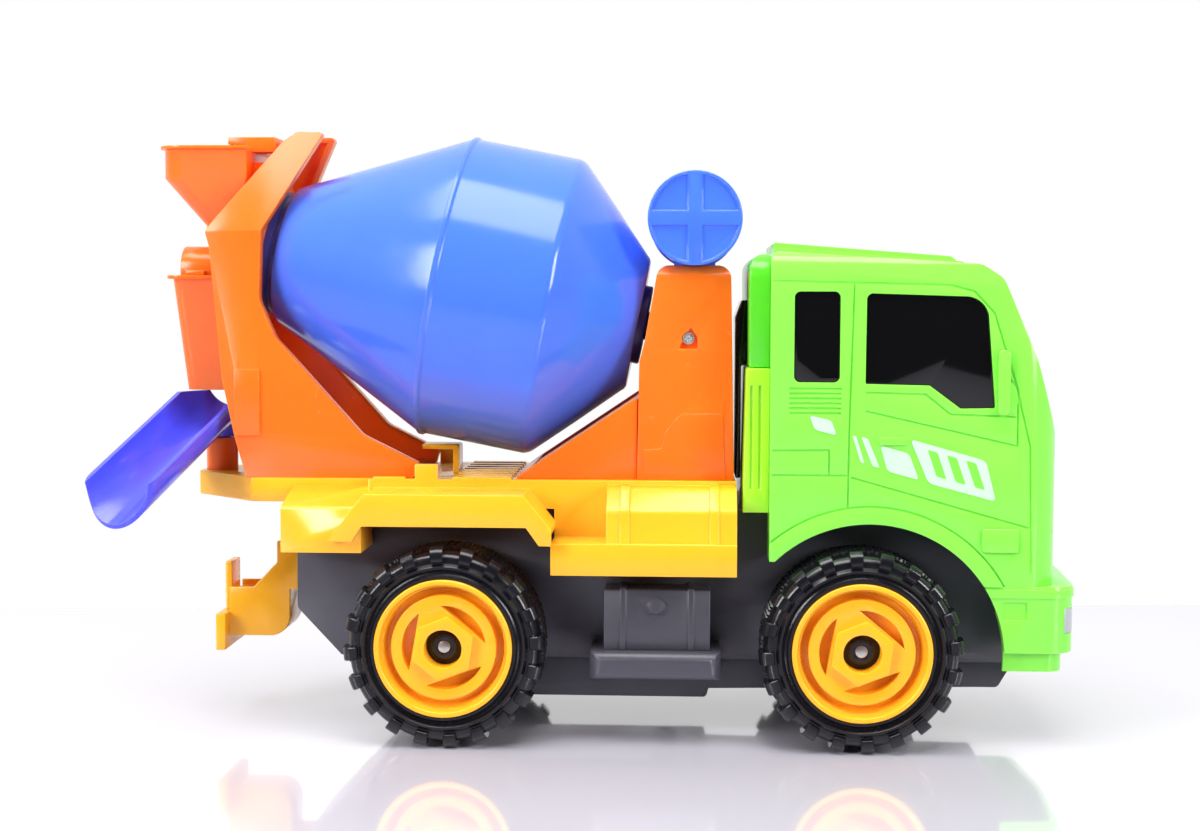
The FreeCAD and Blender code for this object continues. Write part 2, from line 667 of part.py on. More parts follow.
def frame_head_right():
    """The right half of the panel that joins the side plates above the drum's rear end."""
    low = HEAD_LOW_Z
    top = FRAME_TOP_Z
    front = FRAME_TOP_X[1]
    slope = (front - FRAME_CREASE_X[1]) / (top - FRAME_CREASE_Z)
    front_low = front - slope * (top - low)
    panel = along_y([
        (front_low, low), (front, top, 0.8), (front - FRAME_WALL, top, 0.8), (front_low - FRAME_WALL, low),
    ], -FRAME_HALF_W, 0.0)
    lean = FRAME_LEAN / (top + 1 - FRAME_CREASE_Z)
    reach = FRAME_HALF_W - FRAME_RIM + 1.0
    side_low = reach - lean * (low - FRAME_CREASE_Z)
    side_top = reach - lean * (top - FRAME_CREASE_Z)
    between = along_x([
        (-side_low, low), (-HEAD_SEAM, low), (-HEAD_SEAM, top), (-side_top, top),
    ], -140.0, -110.0)
    return panel.common(between)


def drum_place(shape):
    """Move a piece turned about Z, with Z = 0 at the drum's rear face, onto the drum's axis."""
    copy = shape.copy()
    copy.rotate(V(0, 0, 0), V(0, 1, 0), 90 + DRUM_TILT)
    copy.translate(V(DRUM_REAR_X, 0, DRUM_REAR_Z))
    return copy


def drum_point(distance):
    """A point on the drum's axis, at a distance in front of its rear face."""
    tilt = math.radians(DRUM_TILT)
    return V(DRUM_REAR_X + distance * math.cos(tilt), 0, DRUM_REAR_Z - distance * math.sin(tilt))


def rear_crosswall():
    """The wall between the side frames that carries the drum's rear collar."""
    half = FRAME_HALF_W - FRAME_RIM
    back = -CROSSWALL_BACK
    wall = box((-CROSSWALL_ABOVE, CROSSWALL_BELOW), (-half, half), (back - CROSSWALL_T / 2, back + CROSSWALL_T / 2))
    ring = rod((0, 0, back - 4), (0, 0, 1), COLLAR_R + 3.0, 8)
    bore = rod((0, 0, back - 20), (0, 0, 1), COLLAR_R + RUNNING_GAP, 40)
    placed = drum_place(join([wall, ring]).cut(bore))
    lean_half = half - FRAME_LEAN
    between = along_x([
        (-half, DECK_TOP_Z), (half, DECK_TOP_Z), (half, FRAME_CREASE_Z), (lean_half, FRAME_TOP_Z + 1),
        (-lean_half, FRAME_TOP_Z + 1), (-half, FRAME_CREASE_Z),
    ], -170.0, -90.0)
    return placed.common(between)


def upper_hopper():
    """The funnel that fills the drum: a round-cornered box on a tapered spout."""
    half = HOPPER_HALF_W
    wall = HOPPER_WALL
    rear, front = HOPPER_REAR_X, HOPPER_FRONT_X
    bend, rim = 187.0, HOPPER_RIM_Z
    throat = (-154.8, -146.5)
    low = 168.6

    def plan(x, y, corner, grow):
        return [
            (x[0] - grow, -y - grow, corner), (x[1] + grow, -y - grow, 0.5), (x[1] + grow, y + grow, 0.5),
            (x[0] - grow, y + grow, corner),
        ]

    def form(grow):
        top = outline(plan((rear, front), half, 8.0, grow))
        top.translate(V(0, 0, bend))
        bottom = outline(plan(throat, 9.0, 3.0, grow))
        bottom.translate(V(0, 0, low))
        cone = Part.makeLoft([bottom, top], True, True)
        upper = along_z(plan((rear, front), half, 8.0, grow), bend, rim + (1.0 if grow else 0.0))
        spout = along_z(plan(throat, 9.0, 3.0, grow), low - (5.0 if grow else 4.0), low)
        return [cone, upper, spout]

    lip = along_z(plan((rear, front), half, 9.0, 1.4), rim - 1.0, rim).cut(
        box((front, front + 2), (-half - 2, half + 2), (rim - 2, rim + 1)))
    side = HOPPER_RISER_HALF_W
    riser = box(HOPPER_RISER_X, (-side, side), (rim - wall, rim + 3.4))
    riser_hole = box((HOPPER_RISER_X[0] + wall, HOPPER_RISER_X[1] - wall), (-side + wall, side - wall), (rim, rim + 5))
    return join(form(0.0) + [lip, riser]).cut(form(-wall) + [riser_hole])


def drum_hood():
    """The arched guard over the drum's mouth, between the two hoppers."""
    wall = HOPPER_WALL
    half = 14.0
    top = 164.0
    low = BOX_TOP_Z - 4.0
    rear = -164.6
    front = -153.2
    arch = along_x([(-half, low), (-half, top, 8.0), (half, top, 8.0), (half, low)], rear, front)
    tunnel = along_x([
        (-half + wall, low - 1), (-half + wall, top - wall, 6.4), (half - wall, top - wall, 6.4),
        (half - wall, low - 1),
    ], rear + wall, front + 1)
    hooks = []
    for side in SIDES.values():
        y = sorted((side * (half - wall), side * SPOUT_HALF_W))
        hooks.append(box((rear + 3.0, front - 2.0), y, (BOX_TOP_Z, BOX_TOP_Z + wall)))
    return join([arch.cut(tunnel)] + hooks)


def box_front_x(z):
    """Where the lower hopper's front wall is at a given height."""
    share = (BOX_TOP_Z - z) / (BOX_TOP_Z - BOX_BOTTOM_Z)
    return BOX_FRONT_TOP_X + share * (BOX_FRONT_LOW_X - BOX_FRONT_TOP_X)


def lower_hopper():
    """The tapered box that leads from the drum's mouth down to the chute, open at both ends."""
    wall = HOPPER_WALL
    half = SPOUT_HALF_W

    def ring(front, depth, width, z):
        wire = outline([
            (front - depth, -width, 4.0), (front, -width, 0.5), (front, width, 0.5),
            (front - depth, width, 4.0),
        ])
        wire.translate(V(0, 0, z))
        return wire

    def shell(grow, spare):
        top = ring(BOX_FRONT_TOP_X + grow, BOX_DEPTH_TOP + 2 * grow, half + grow, BOX_TOP_Z + spare)
        low = ring(BOX_FRONT_LOW_X + grow, BOX_DEPTH_LOW + 2 * grow, half - 2.0 + grow, BOX_BOTTOM_Z - spare)
        return Part.makeLoft([low, top], True, True)

    rear = BOX_FRONT_TOP_X - BOX_DEPTH_TOP - 1.8
    lip = along_z([
        (rear, -half - 1.6, 5.0), (BOX_FRONT_TOP_X, -half - 1.6), (BOX_FRONT_TOP_X, half + 1.6),
        (rear, half + 1.6, 5.0),
    ], BOX_TOP_Z - 1.2, BOX_TOP_Z)
    return join([shell(0.0, 0.0), lip]).cut(shell(-wall, 0.5))


def crosswall_back_x(z):
    """Where the crosswall's rear face is at a given height."""
    foot = drum_point(-CROSSWALL_BACK - CROSSWALL_T / 2)
    return foot.x + (z - foot.z) * math.tan(math.radians(DRUM_TILT))


def hopper_brackets():
    """Four short arms that carry both hoppers on the crosswall."""
    arms = []
    low, high = 188.0, 193.0
    upper = [
        (HOPPER_FRONT_X, low), (HOPPER_FRONT_X, high), (crosswall_back_x(high), high),
        (crosswall_back_x(low), low),
    ]
    base, top = 131.0, 136.0
    lower = [
        (box_front_x(base), base), (box_front_x(top), top), (crosswall_back_x(top), top),
        (crosswall_back_x(base), base),
    ]
    for side in SIDES.values():
        arms.append(along_y(upper, *sorted((side * 7.0, side * 11.0))))
        arms.append(along_y(lower, *sorted((side * 8.0, side * 12.0))))
    return Part.makeCompound(arms)


# ---- chute ---------------------------------------------------------------------------------------
def chute():
    """The discharge chute: a half pipe with a rounded end, on an upright pin."""
    radius = CHUTE_R
    inner = radius - CHUTE_WALL
    back = CHUTE_BACK
    end = CHUTE_REACH
    length = back + end

    pipe = rod((-end - 1, 0, 0), (1, 0, 0), radius, length + 2)
    lower = box((-end - 1, back + 1), (-radius, radius), (-radius, 0))
    trough = pipe.common(lower).cut(rod((-end - 2, 0, 0), (1, 0, 0), inner, length + 4))
    plan = along_z([
        (back, -radius), (back, radius), (-end, radius, radius - 0.2), (-end, -radius, radius - 0.2),
    ], -radius - 1, 1)
    trough = trough.common(plan)
    trough.rotate(V(0, 0, 0), V(0, 1, 0), -CHUTE_SLOPE)
    floor_drop = radius / math.cos(math.radians(CHUTE_SLOPE))
    axis_z = POST_TOP_Z + CHUTE_RISE + floor_drop
    trough.translate(V(POST_X, 0, axis_z))
    ceiling = box((POST_X - 90, POST_X + 60), (-40, 40), (CHUTE_TOP_Z, CHUTE_TOP_Z + 60))
    front = box((POST_X + 7.6, POST_X + 60), (-40, 40), (60, CHUTE_TOP_Z + 60))
    trough = trough.cut([ceiling, front])
    stem = rod((POST_X, 0, POST_TOP_Z + PART_GAP), (0, 0, 1), CHUTE_STEM_R, 12)
    keep_out = rod((-end - 1, 0, 0), (1, 0, 0), inner + 0.4, length + 20)
    keep_out.rotate(V(0, 0, 0), V(0, 1, 0), -CHUTE_SLOPE)
    keep_out.translate(V(POST_X, 0, axis_z))
    stem = stem.cut(keep_out)
    pin_foot = DECK_TOP_Z - PLATFORM_H + 2.6
    pin = rod((POST_X, 0, pin_foot), (0, 0, 1), CHUTE_PIN_R, POST_TOP_Z + 2 - pin_foot)
    solid = join([trough, stem, pin])
    solid.rotate(V(POST_X, 0, 0), V(0, 0, 1), CHUTE_SWIVEL)
    return solid


# ---- drum ----------------------------------------------------------------------------------------
def drum_rear_shell():
    """The rear cone, open at the collar."""
    rim = DRUM_CONE_L
    wall = DRUM_WALL
    return drum_place(lathe([
        (COLLAR_BORE, 0.0), (DRUM_REAR_R, 0.0, 3.0), (DRUM_R, rim), (DRUM_R - wall, rim),
        (DRUM_REAR_R - wall - 0.4, wall, 1.5), (COLLAR_BORE, wall),
    ]))


def drum_front_shell():
    """The barrel and the front cone in one shell, closed at the front."""
    start = DRUM_CONE_L
    edge = start + DRUM_BARREL_L
    nose = edge + DRUM_NOSE_L
    wall = DRUM_WALL
    return drum_place(lathe([
        (DRUM_R - wall, start), (DRUM_R + 0.6, start, 0.3), (DRUM_R + 0.6, start + 1.6, 0.3),
        (DRUM_R, start + 2.2),
        (DRUM_R, edge, 2.0), (DRUM_FRONT_R, nose, 1.5), (0, nose), (0, nose - wall),
        (DRUM_FRONT_R - wall, nose - wall), (DRUM_R - wall, edge - 0.8),
    ]))


def drum_collar():
    """The neck behind the rear cone, which turns in the crosswall."""
    return drum_place(lathe([
        (COLLAR_BORE, -COLLAR_L), (COLLAR_R, -COLLAR_L, 0.6), (COLLAR_R, 0.0), (COLLAR_BORE, 0.0),
    ]))


def drum_hub():
    """The dark disc in front of the drum and the shaft that turns in the tower."""
    nose = DRUM_CONE_L + DRUM_BARREL_L + DRUM_NOSE_L
    return drum_place(lathe([
        (0, nose), (HUB_R, nose), (HUB_R, nose + HUB_L, 0.5), (SHAFT_R, nose + HUB_L),
        (SHAFT_R, nose + HUB_L + SHAFT_L, 0.6), (0, nose + HUB_L + SHAFT_L),
    ]))


# ---- tower and water tank ------------------------------------------------------------------------
def tower_profile(inset=0.0):
    rear, front = TOWER_X
    return [
        (rear + inset, DECK_TOP_Z - (5 if inset else 0)), (rear + 0.6 + inset, TOWER_CREASE_Z - 3),
        (rear + 2.4 + inset, TOWER_CREASE_Z + 4.0), (rear + 6.8 + inset, TOWER_TOP_Z - inset, 4.5),
        (front - 1.4 - inset, TOWER_TOP_Z - inset, 4.5), (front - inset, DECK_TOP_Z - (5 if inset else 0)),
    ]


def tower_half():
    """The right half of the tower: a hollow shell that parts on the middle plane."""
    base, top = DECK_TOP_Z, TOWER_TOP_Z
    wall = TOWER_WALL
    body = along_y(tower_profile(), -TOWER_HALF_W, 0)
    cavity = along_y(tower_profile(wall), -TOWER_HALF_W + wall + 2, 1)
    section = along_x([
        (0, base), (0, top), (-TOWER_TOP_HALF_W, top, 5.0), (-TOWER_HALF_W, TOWER_CREASE_Z),
        (-TOWER_HALF_W, base),
    ], TOWER_X[0] - 5, TOWER_X[1] + 5)
    shell = body.common(section).cut(cavity)
    start = drum_point(DRUM_CONE_L + DRUM_BARREL_L + DRUM_NOSE_L - 2)
    ahead = drum_point(400) - start
    bearing = Part.makeCylinder(SHAFT_R + 3, 14.0, start + ahead.normalize() * 7, ahead)
    bearing = bearing.common(box((TOWER_X[0] + wall, TOWER_X[1]), (-20, 0), (base, top)))
    bore = Part.makeCylinder(SHAFT_R + RUNNING_GAP, 40.0, start, ahead)
    hub_room = Part.makeCylinder(HUB_R + PART_GAP, HUB_L + 2 + PART_GAP, start, ahead)
    recess = along_y([
        (SCREW_X - 3.4, SCREW_Z - 3.4, 0.5), (SCREW_X + 3.2, SCREW_Z - 3.4, 0.5),
        (SCREW_X + 3.0, SCREW_Z + 1.0, 0.8),
        (SCREW_X + 0.6, SCREW_Z + 3.8, 0.5),
    ], -TOWER_HALF_W - 1, -TOWER_HALF_W + 2.4)
    head_room = rod((SCREW_X, -TOWER_HALF_W - 1, SCREW_Z), (0, 1, 0), SCREW_HEAD_R + PART_GAP, 3.4)
    panel = along_y([
        (TOWER_X[0] + 2.2, base), (TOWER_X[0] + 2.2, base + 10.2), (TOWER_X[0] + 8.4, base + 10.6, 1.5),
        (TOWER_X[0] + 9.2, base + 16.0, 4.0), (TOWER_X[0] + 14.5, base + 22.4, 4.0),
        (TOWER_X[1] - 4.0, base + 22.4, 0.8),
        (TOWER_X[1] - 2.8, base),
    ], -TOWER_HALF_W - 0.35, -TOWER_HALF_W + 0.5)
    return join([shell, bearing, panel]).cut([bore, hub_room, recess, head_room])


def tower_screw():
    """The screw that holds the two tower halves together."""
    head_y = -TOWER_HALF_W + 1.0
    head = rod((SCREW_X, head_y, SCREW_Z), (0, 1, 0), SCREW_HEAD_R, 1.4)
    cross = [
        box((SCREW_X - 1.1, SCREW_X + 1.1), (head_y - 1, head_y + 0.6), (SCREW_Z - 0.25, SCREW_Z + 0.25)),
        box((SCREW_X - 0.25, SCREW_X + 0.25), (head_y - 1, head_y + 0.6), (SCREW_Z - 1.1, SCREW_Z + 1.1)),
    ]
    return head.cut(cross)


def tower_brace():
    """The sloping wedge behind the tower, a tray with raised side edges."""
    half = TOWER_HALF_W - 1.0
    rear = TOWER_X[0]
    base = DECK_TOP_Z
    wedge = [(rear - BRACE_L, base, 0.5), (rear, base), (rear, base + 28.0)]
    hollow = [(rear - 37.0, base - 1), (rear + 1, base - 1), (rear + 1, base + 26.4)]
    groove = [(rear - 36.0, base + 2.6), (rear + 1, base + 27.4), (rear + 1, base + 40), (rear - 45, base + 40)]
    solid = along_y(wedge, -half, half)
    solid = solid.cut(along_y(hollow, -half + 2, half - 2))
    return solid.cut(along_y(groove, -half + 3.4, half - 3.4))


def water_tank():
    x = (TOWER_X[0] + TOWER_X[1]) / 2 + 2.7
    z = TOWER_TOP_Z + WATER_TANK_R - 0.2
    body = rod((x, -WATER_TANK_HALF_W, z), (0, 1, 0), WATER_TANK_R - 0.6, 2 * WATER_TANK_HALF_W)
    saddle = box((x - 7, x + 7), (-18, 18), (TOWER_TOP_Z, z))
    return join([body, saddle])


def tank_cap():
    """The right end cap of the water tank, with a raised cross and rim."""
    x = (TOWER_X[0] + TOWER_X[1]) / 2 + 2.7
    z = TOWER_TOP_Z + WATER_TANK_R - 0.2
    face = -WATER_TANK_HALF_W - TANK_CAP_T
    disc = rod((x, face, z), (0, 1, 0), WATER_TANK_R, TANK_CAP_T)
    dish = rod((x, face - 1, z), (0, 1, 0), WATER_TANK_R - 1.2, 2.0)
    bars = [
        box((x - 15.0, x + 15.0), (face, face + TANK_CAP_T), (z - 2.4, z + 2.4)),
        box((x - 2.4, x + 2.4), (face, face + TANK_CAP_T), (z - 15.0, z + 15.0)),
    ]
    cross = join(bars).common(rod((x, face, z), (0, 1, 0), WATER_TANK_R - 0.5, TANK_CAP_T))
    return join([disc.cut(dish), cross])


# ---- cab -----------------------------------------------------------------------------------------
def cab_solid(inset, base_z):
    """The cab's outer form, shrunk by an inset: side view, plan and front view cut together."""
    rear = CAB_REAR_X + inset
    roof = CAB_ROOF_Z - inset
    half = CAB_HALF_W - inset
    corner = CAB_CORNER_R - inset
    side_view = [
        (rear, base_z), (rear, roof, 2.6), (105.4 - inset, roof - 4.2, 6.0),
        (112.4 - inset, roof - 8.8, 6.0),
        (123.8 - inset, 126.4, 30.0), (131.4 - inset, 101.0, 20.0), (134.8 - inset, 84.0, 20.0),
        (134.2 - inset, base_z),
    ]
    plan = [
        (rear, -half), (CAB_FRONT_SQUARE - inset, -half, corner), (CAB_FRONT_SQUARE + 6 - inset, 0, 60.0),
        (CAB_FRONT_SQUARE - inset, half, corner), (rear, half),
    ]
    front_view = [
        (-half, base_z - 1), (-half, roof - 12, 20.0), (-half + 1.2, roof, ROOF_CORNER_R - inset),
        (half - 1.2, roof, ROOF_CORNER_R - inset), (half, roof - 12, 20.0), (half, base_z - 1),
    ]
    solid = along_y(side_view, -half - 5, half + 5)
    solid = solid.common(along_z(plan, base_z - 1, roof + 5))
    return solid.common(along_x(front_view, rear - 5, 160))


def window_outline(name, inset=0.0):
    if name == "quarter":
        left, right, low, high = 45.4 + inset, 60.2 - inset, 119.4 + inset, 148.8 - inset
        return [(left, low, 2.0), (left, high, 2.0), (right, high, 2.0), (right, low, 2.0)]
    return [
        (68.4 + inset, 119.0 + inset, 0.6), (68.6 + inset, 148.3 - inset, 2.0),
        (107.2 - inset, 147.2 - inset, 7.5),
        (110.1 - inset, 111.4 + inset, 0.6), (99.0 + inset / 2, 111.2 + inset, 1.0),
        (89.0 + inset / 2, 118.6 + inset, 1.0),
    ]


def windscreen_opening():
    """The windscreen's outline, seen from the front."""
    return [
        (-38.0, 109.0, 5.0), (-36.0, 149.0, 6.0), (36.0, 149.0, 6.0), (38.0, 109.0, 5.0),
    ]


def cab_grooves():
    """Seams and panel lines cut into both cab sides."""
    lines = [
        [(CAB_REAR_X + 0.5, 152.2), (95.0, 151.0), (103.0, 149.0), (109.5, 142.0), (117.0, 118.0), (121.5, 99.0), (122.4, 58.0)],
        [(64.6, 151.4), (63.4, 103.0), (63.2, 78.6)],
        [(68.7, 116.2), (88.0, 115.7), (96.0, 109.3), (117.2, 108.6)],
        [(68.6, 110.2), (117.4, 99.2), (117.4, 117.4), (114.6, 121.0)],
        [(CAB_REAR_X + 0.5, 89.2), (63.3, 89.2)],
        [(CAB_REAR_X + 0.5, 97.2), (57.0, 97.4), (57.0, 89.2)],
        [(64.2, 88.6), (121.6, 72.6)],
    ]
    pieces = []
    for line in lines:
        pieces.extend(strip(line, GROOVE_W))
    for i in range(6):
        z = 117.4 - 1.6 * i
        pieces.extend(strip([(44.0, z), (60.4, z)], GROOVE_W))
    ring = rod((ARCH_X, -60, ARCH_Z), (0, 1, 0), ARCH_R + ARCH_FLARE + GROOVE_W, 120)
    ring = ring.cut(rod((ARCH_X, -61, ARCH_Z), (0, 1, 0), ARCH_R + ARCH_FLARE, 122))
    pieces.append(ring)
    side_skin = box((CAB_REAR_X - 5, 140), (-CAB_HALF_W - 5, CAB_HALF_W + 5), (40, 170))
    keep = box((CAB_REAR_X - 6, 141), (-CAB_HALF_W + GROOVE_D, CAB_HALF_W - GROOVE_D), (39, 171))
    return join(pieces).common(side_skin.cut(keep))


def arch_cut():
    return rod((ARCH_X, -70, ARCH_Z), (0, 1, 0), ARCH_R, 140)


def cab_shell():
    """The green cab: a hollow shell with window openings, wheel arches and panel lines."""
    outer = cab_solid(0.0, CAB_BASE_Z)
    flare = rod((ARCH_X, -CAB_HALF_W - ARCH_PROUD, ARCH_Z), (0, 1, 0), ARCH_R + ARCH_FLARE, 2 * (CAB_HALF_W + ARCH_PROUD))
    flare = flare.common(box((CAB_REAR_X, 114.0), (-60, 60), (CAB_BASE_Z, 100)))
    solid = join([outer, flare])
    inner = cab_solid(CAB_WALL, CAB_BASE_Z - 2)
    cuts = [inner, arch_cut()]
    cuts.append(along_y([(CAB_REAR_X - 1, 40), (CAB_REAR_X - 1, 61.0), (46.0, 61.0), (46.0, 40)], -60, 60))
    for name in ("quarter", "door"):
        cuts.append(along_y(window_outline(name), -60, 60))
    cuts.append(along_x(windscreen_opening(), 100, 160))
    room = CHASSIS_HALF_W + PART_GAP
    cuts.append(box((CAB_REAR_X - 1, CAB_REAR_X + CAB_WALL + 1), (-room, room), (40, CHASSIS_TOP_Z)))
    cuts.append(along_x([(-31.0, 62.0, 2.0), (-31.0, 84.0, 2.0), (31.0, 84.0, 2.0), (31.0, 62.0, 2.0)], 120, 160))
    cuts.append(rod((120, 0, 97.0), (1, 0, 0), 3.9, 30))
    cuts.append(cab_grooves())
    shell = solid.cut(cuts)
    ridges = []
    for half, lift in ((38.0, 1.2), (26.0, 3.2)):
        slab = along_y([
            (CAB_REAR_X + 1.4, CAB_ROOF_Z - 1.5), (CAB_REAR_X + 1.4, CAB_ROOF_Z + lift, 0.8),
            (101.6 - lift, CAB_ROOF_Z + lift - 4.4, 1.5), (104.4, CAB_ROOF_Z - 6.0),
        ], -half, half)
        ridges.append(slab)
    handles = []
    for side in SIDES.values():
        y = sorted((side * (CAB_HALF_W - 0.5), side * (CAB_HALF_W + 0.9)))
        handles.append(along_y([(73.0, 99.4, 0.9), (73.0, 101.8, 0.9), (81.6, 101.8, 0.9), (81.6, 99.4, 0.9)], *y))
    return join([shell] + ridges + handles)


def side_glass():
    """The black window panel inside the right cab wall, with a pad in each opening."""
    inside = -CAB_HALF_W + CAB_WALL
    plate = along_y([(42.0, 108.0, 3.0), (42.0, 151.5, 3.0), (106.0, 150.5, 6.0), (112.6, 130.0), (112.6, 108.0, 2.0)],
                    inside, inside + 1.6)
    pads = [along_y(window_outline(name, 0.1), inside - CAB_WALL + 0.7, inside + 0.5) for name in ("quarter", "door")]
    backing = plate.common(cab_solid(CAB_WALL, CAB_BASE_Z - 2))
    return join([backing] + [pad.common(cab_solid(0.5, CAB_BASE_Z - 2)) for pad in pads])


def front_panel(points, sink, thickness):
    """A plate that follows the cab's front, sunk behind its surface, inside a front-view outline."""
    outer = cab_solid(0.0, CAB_BASE_Z - 2)
    inner = outer.copy()
    outer.translate(V(-sink, 0, 0))
    inner.translate(V(-sink - thickness, 0, 0))
    return outer.cut(inner).common(along_x(points, 100, 160))


def windscreen():
    points = [(y * 0.997, z + (0.1 if z < 120 else -0.1), r) for y, z, r in windscreen_opening()]
    return front_panel(points, 0.7, 1.8)


def grille():
    points = [(-30.9, 62.1, 1.9), (-30.9, 83.9, 1.9), (30.9, 83.9, 1.9), (30.9, 62.1, 1.9)]
    plate = front_panel(points, 0.3, 2.2)
    slots = [box((128.6, 140), (-27.0, 27.0), (64.6 + 4.6 * i, 67.4 + 4.6 * i)) for i in range(4)]
    return plate.cut(slots)


def front_badge():
    """A plain round badge on the nose."""
    return front_panel([(-3.8, 93.2, 3.75), (-3.8, 100.8, 3.75), (3.8, 100.8, 3.75), (3.8, 93.2, 3.75)], -0.7, 3.0)


def mirror_pad():
    """The rounded mirror housing moulded on the right windscreen pillar."""
    pad = along_y([(110.6, 109.0, 1.8), (110.6, 130.6, 1.8), (114.6, 130.0, 1.9), (114.4, 109.4, 1.9)],
                  -CAB_HALF_W - 2.6, -CAB_HALF_W + 0.8)
    return pad.cut(cab_solid(0.0, CAB_BASE_Z))


def signal_lamp():
    lamp = along_y([(106.4, 64.6, 1.0), (106.4, 72.4, 1.0), (118.2, 72.4, 1.0), (118.2, 64.6, 1.0)],
                   -CAB_HALF_W - 1.2, -CAB_HALF_W)
    return lamp


def cab_back():
    """The raised panel on the cab's rear wall."""
    return along_y([
        (31.2, 123.8), (31.2, 161.2, 5.0), (CAB_REAR_X, 161.2), (CAB_REAR_X, 123.8),
    ], -40.0, 40.0).common(along_x([(-40, 123), (-40, 161.2, 8.0), (40, 161.2, 8.0), (40, 123)], 30, 40))


def cab_locker():
    """The ribbed box on the lower half of the cab's rear wall."""
    block = along_y([(29.4, 76.2), (30.4, 123.6, 1.0), (CAB_REAR_X, 123.6), (CAB_REAR_X, 76.2)], -42.0, 42.0)
    grooves = []
    for side in SIDES.values():
        y = sorted((side * 41.2, side * 43))
        for x in (31.6, 34.4):
            grooves.append(box((x, x + 0.9), y, (84.0, 118.0)))
    return block.cut(grooves)


def air_intake():
    """The dark upright duct in the gap between the tower and the cab."""
    return along_y([
        (27.5, DECK_TOP_Z, 0.4), (27.5, 140.0, 1.2), (29.6, 146.0, 0.8), (31.0, 146.0), (31.0, 124.0),
        (29.2, 123.8),
        (29.2, DECK_TOP_Z),
    ], -20.0, 20.0)


# ---- bumper --------------------------------------------------------------------------------------
def bumper_solid(inset, low, high):
    half = CAB_HALF_W - inset
    front = BUMPER_FRONT_X - inset
    corner = BUMPER_CORNER_R - inset
    return along_z([
        (108.0, -half), (front - 1.6, -half, corner), (front + 1.6, 0, 120.0),
        (front - 1.6, half, corner), (108.0, half),
    ], low, high)


def lamp_box(side, spare=0.0):
    y = sorted((side * (31.0 - spare), side * (46.2 + spare)))
    return box((BUMPER_FRONT_X - 5.0 - spare, BUMPER_FRONT_X + 4), y, (38.0 - spare, 46.2 + spare))


def bumper():
    """The front bumper with a lower tier, hollow from behind, with pockets for the lamps."""
    upper = bumper_solid(0.0, BUMPER_TIER_Z, CAB_BASE_Z)
    lower = bumper_solid(3.2, BUMPER_BOTTOM_Z, BUMPER_TIER_Z + 0.5)
    lower = lower.common(box((111.0, 150), (-60, 60), (0, 60)))
    lip = bumper_solid(-0.5, CAB_BASE_Z - 3.6, CAB_BASE_Z - 0.8)
    solid = join([upper, lower, lip])
    core = bumper_solid(BUMPER_WALL + 3.2, BUMPER_BOTTOM_Z - 1, CAB_BASE_Z - BUMPER_WALL)
    core = join([core, box((100.0, 112.0), (-45.8, 45.8), (BUMPER_BOTTOM_Z - 1, CAB_BASE_Z + 1))])
    recess = along_y([(113.5, 42.6, 0.5), (113.5, 48.4, 0.5), (121.5, 48.4, 0.5), (121.5, 42.6, 0.5)], -60, 60)
    skin = box((100, 140), (-CAB_HALF_W + 0.6, CAB_HALF_W - 0.6), (30, 60))
    pockets = [lamp_box(side) for side in SIDES.values()]
    intake = along_x([(-20.0, 37.0, 1.5), (-20.0, 46.0, 1.5), (20.0, 46.0, 1.5), (20.0, 37.0, 1.5)], 138.2, 150)
    return solid.cut([core, arch_cut(), recess.cut(skin), intake] + pockets)


def headlamp(side):
    """A lamp that fills its pocket and follows the bumper's corner."""
    lamp = bumper_solid(-0.1, BUMPER_TIER_Z, CAB_BASE_Z).common(lamp_box(side, -0.05))
    return lamp


# ---- assembly ------------------------------------------------------------------------------------
# The cab's pieces keep their distance from the front axle, and the mixer's from the rear axle.
CAB_GROUP = (
    "cab_", "air_intake", "windscreen", "grille", "front_badge", "bumper", "side_glass", "mirror", "signal_lamp",
    "headlamp",
)
MIXER_GROUP = (
    "deck", "tail_platform", "chute", "rear_crosswall", "hopper_brackets", "upper_hopper",
    "drum_", "lower_hopper", "rear_frame", "tower", "water_tank", "tank_cap",
)


def build():
    made = dict(wheels())
    made["chassis_tub"] = chassis_tub()
    made["chassis_base"] = chassis_base()
    made["base_screws"] = base_screws()
    made["deck"] = deck()
    made["tail_platform"] = tail_platform()
    made["chute_post"] = chute_post()
    made["tow_hook"] = tow_hook()
    made["rear_crosswall"] = rear_crosswall()
    made["hopper_brackets"] = hopper_brackets()
    made["upper_hopper"] = upper_hopper()
    made["drum_hood"] = drum_hood()
    made["lower_hopper"] = lower_hopper()
    made["chute"] = chute()
    made["drum_rear_shell"] = drum_rear_shell()
    made["drum_front_shell"] = drum_front_shell()
    made["drum_collar"] = drum_collar()
    made["drum_hub"] = drum_hub()
    made["tower_screw"] = tower_screw()
    made["tower_brace"] = tower_brace()
    made["water_tank"] = water_tank()
    made["cab_shell"] = cab_shell()
    made["cab_back"] = cab_back()
    made["cab_locker"] = cab_locker()
    made["air_intake"] = air_intake()
    made["windscreen"] = windscreen()
    made["grille"] = grille()
    made["front_badge"] = front_badge()
    made["bumper"] = bumper()
    paired = {
        "side_tank": side_tank(), "side_step": side_step(), "rear_frame": rear_frame_right(),
        "tower": tower_half(), "tank_cap": tank_cap(), "side_glass": side_glass(), "mirror": mirror_pad(),
        "signal_lamp": signal_lamp(),
    }
    for name, shape in paired.items():
        made[name + "_right"], made[name + "_left"] = both_sides(shape)
    for side_name, side in SIDES.items():
        made["headlamp_" + side_name] = headlamp(side)
    for name, shape in made.items():
        if name.startswith(CAB_GROUP):
            shape.translate(V(CAB_SHIFT, 0, 0))
        if name.startswith(MIXER_GROUP):
            shape.translate(V(MIXER_SHIFT, 0, 0))
    return made


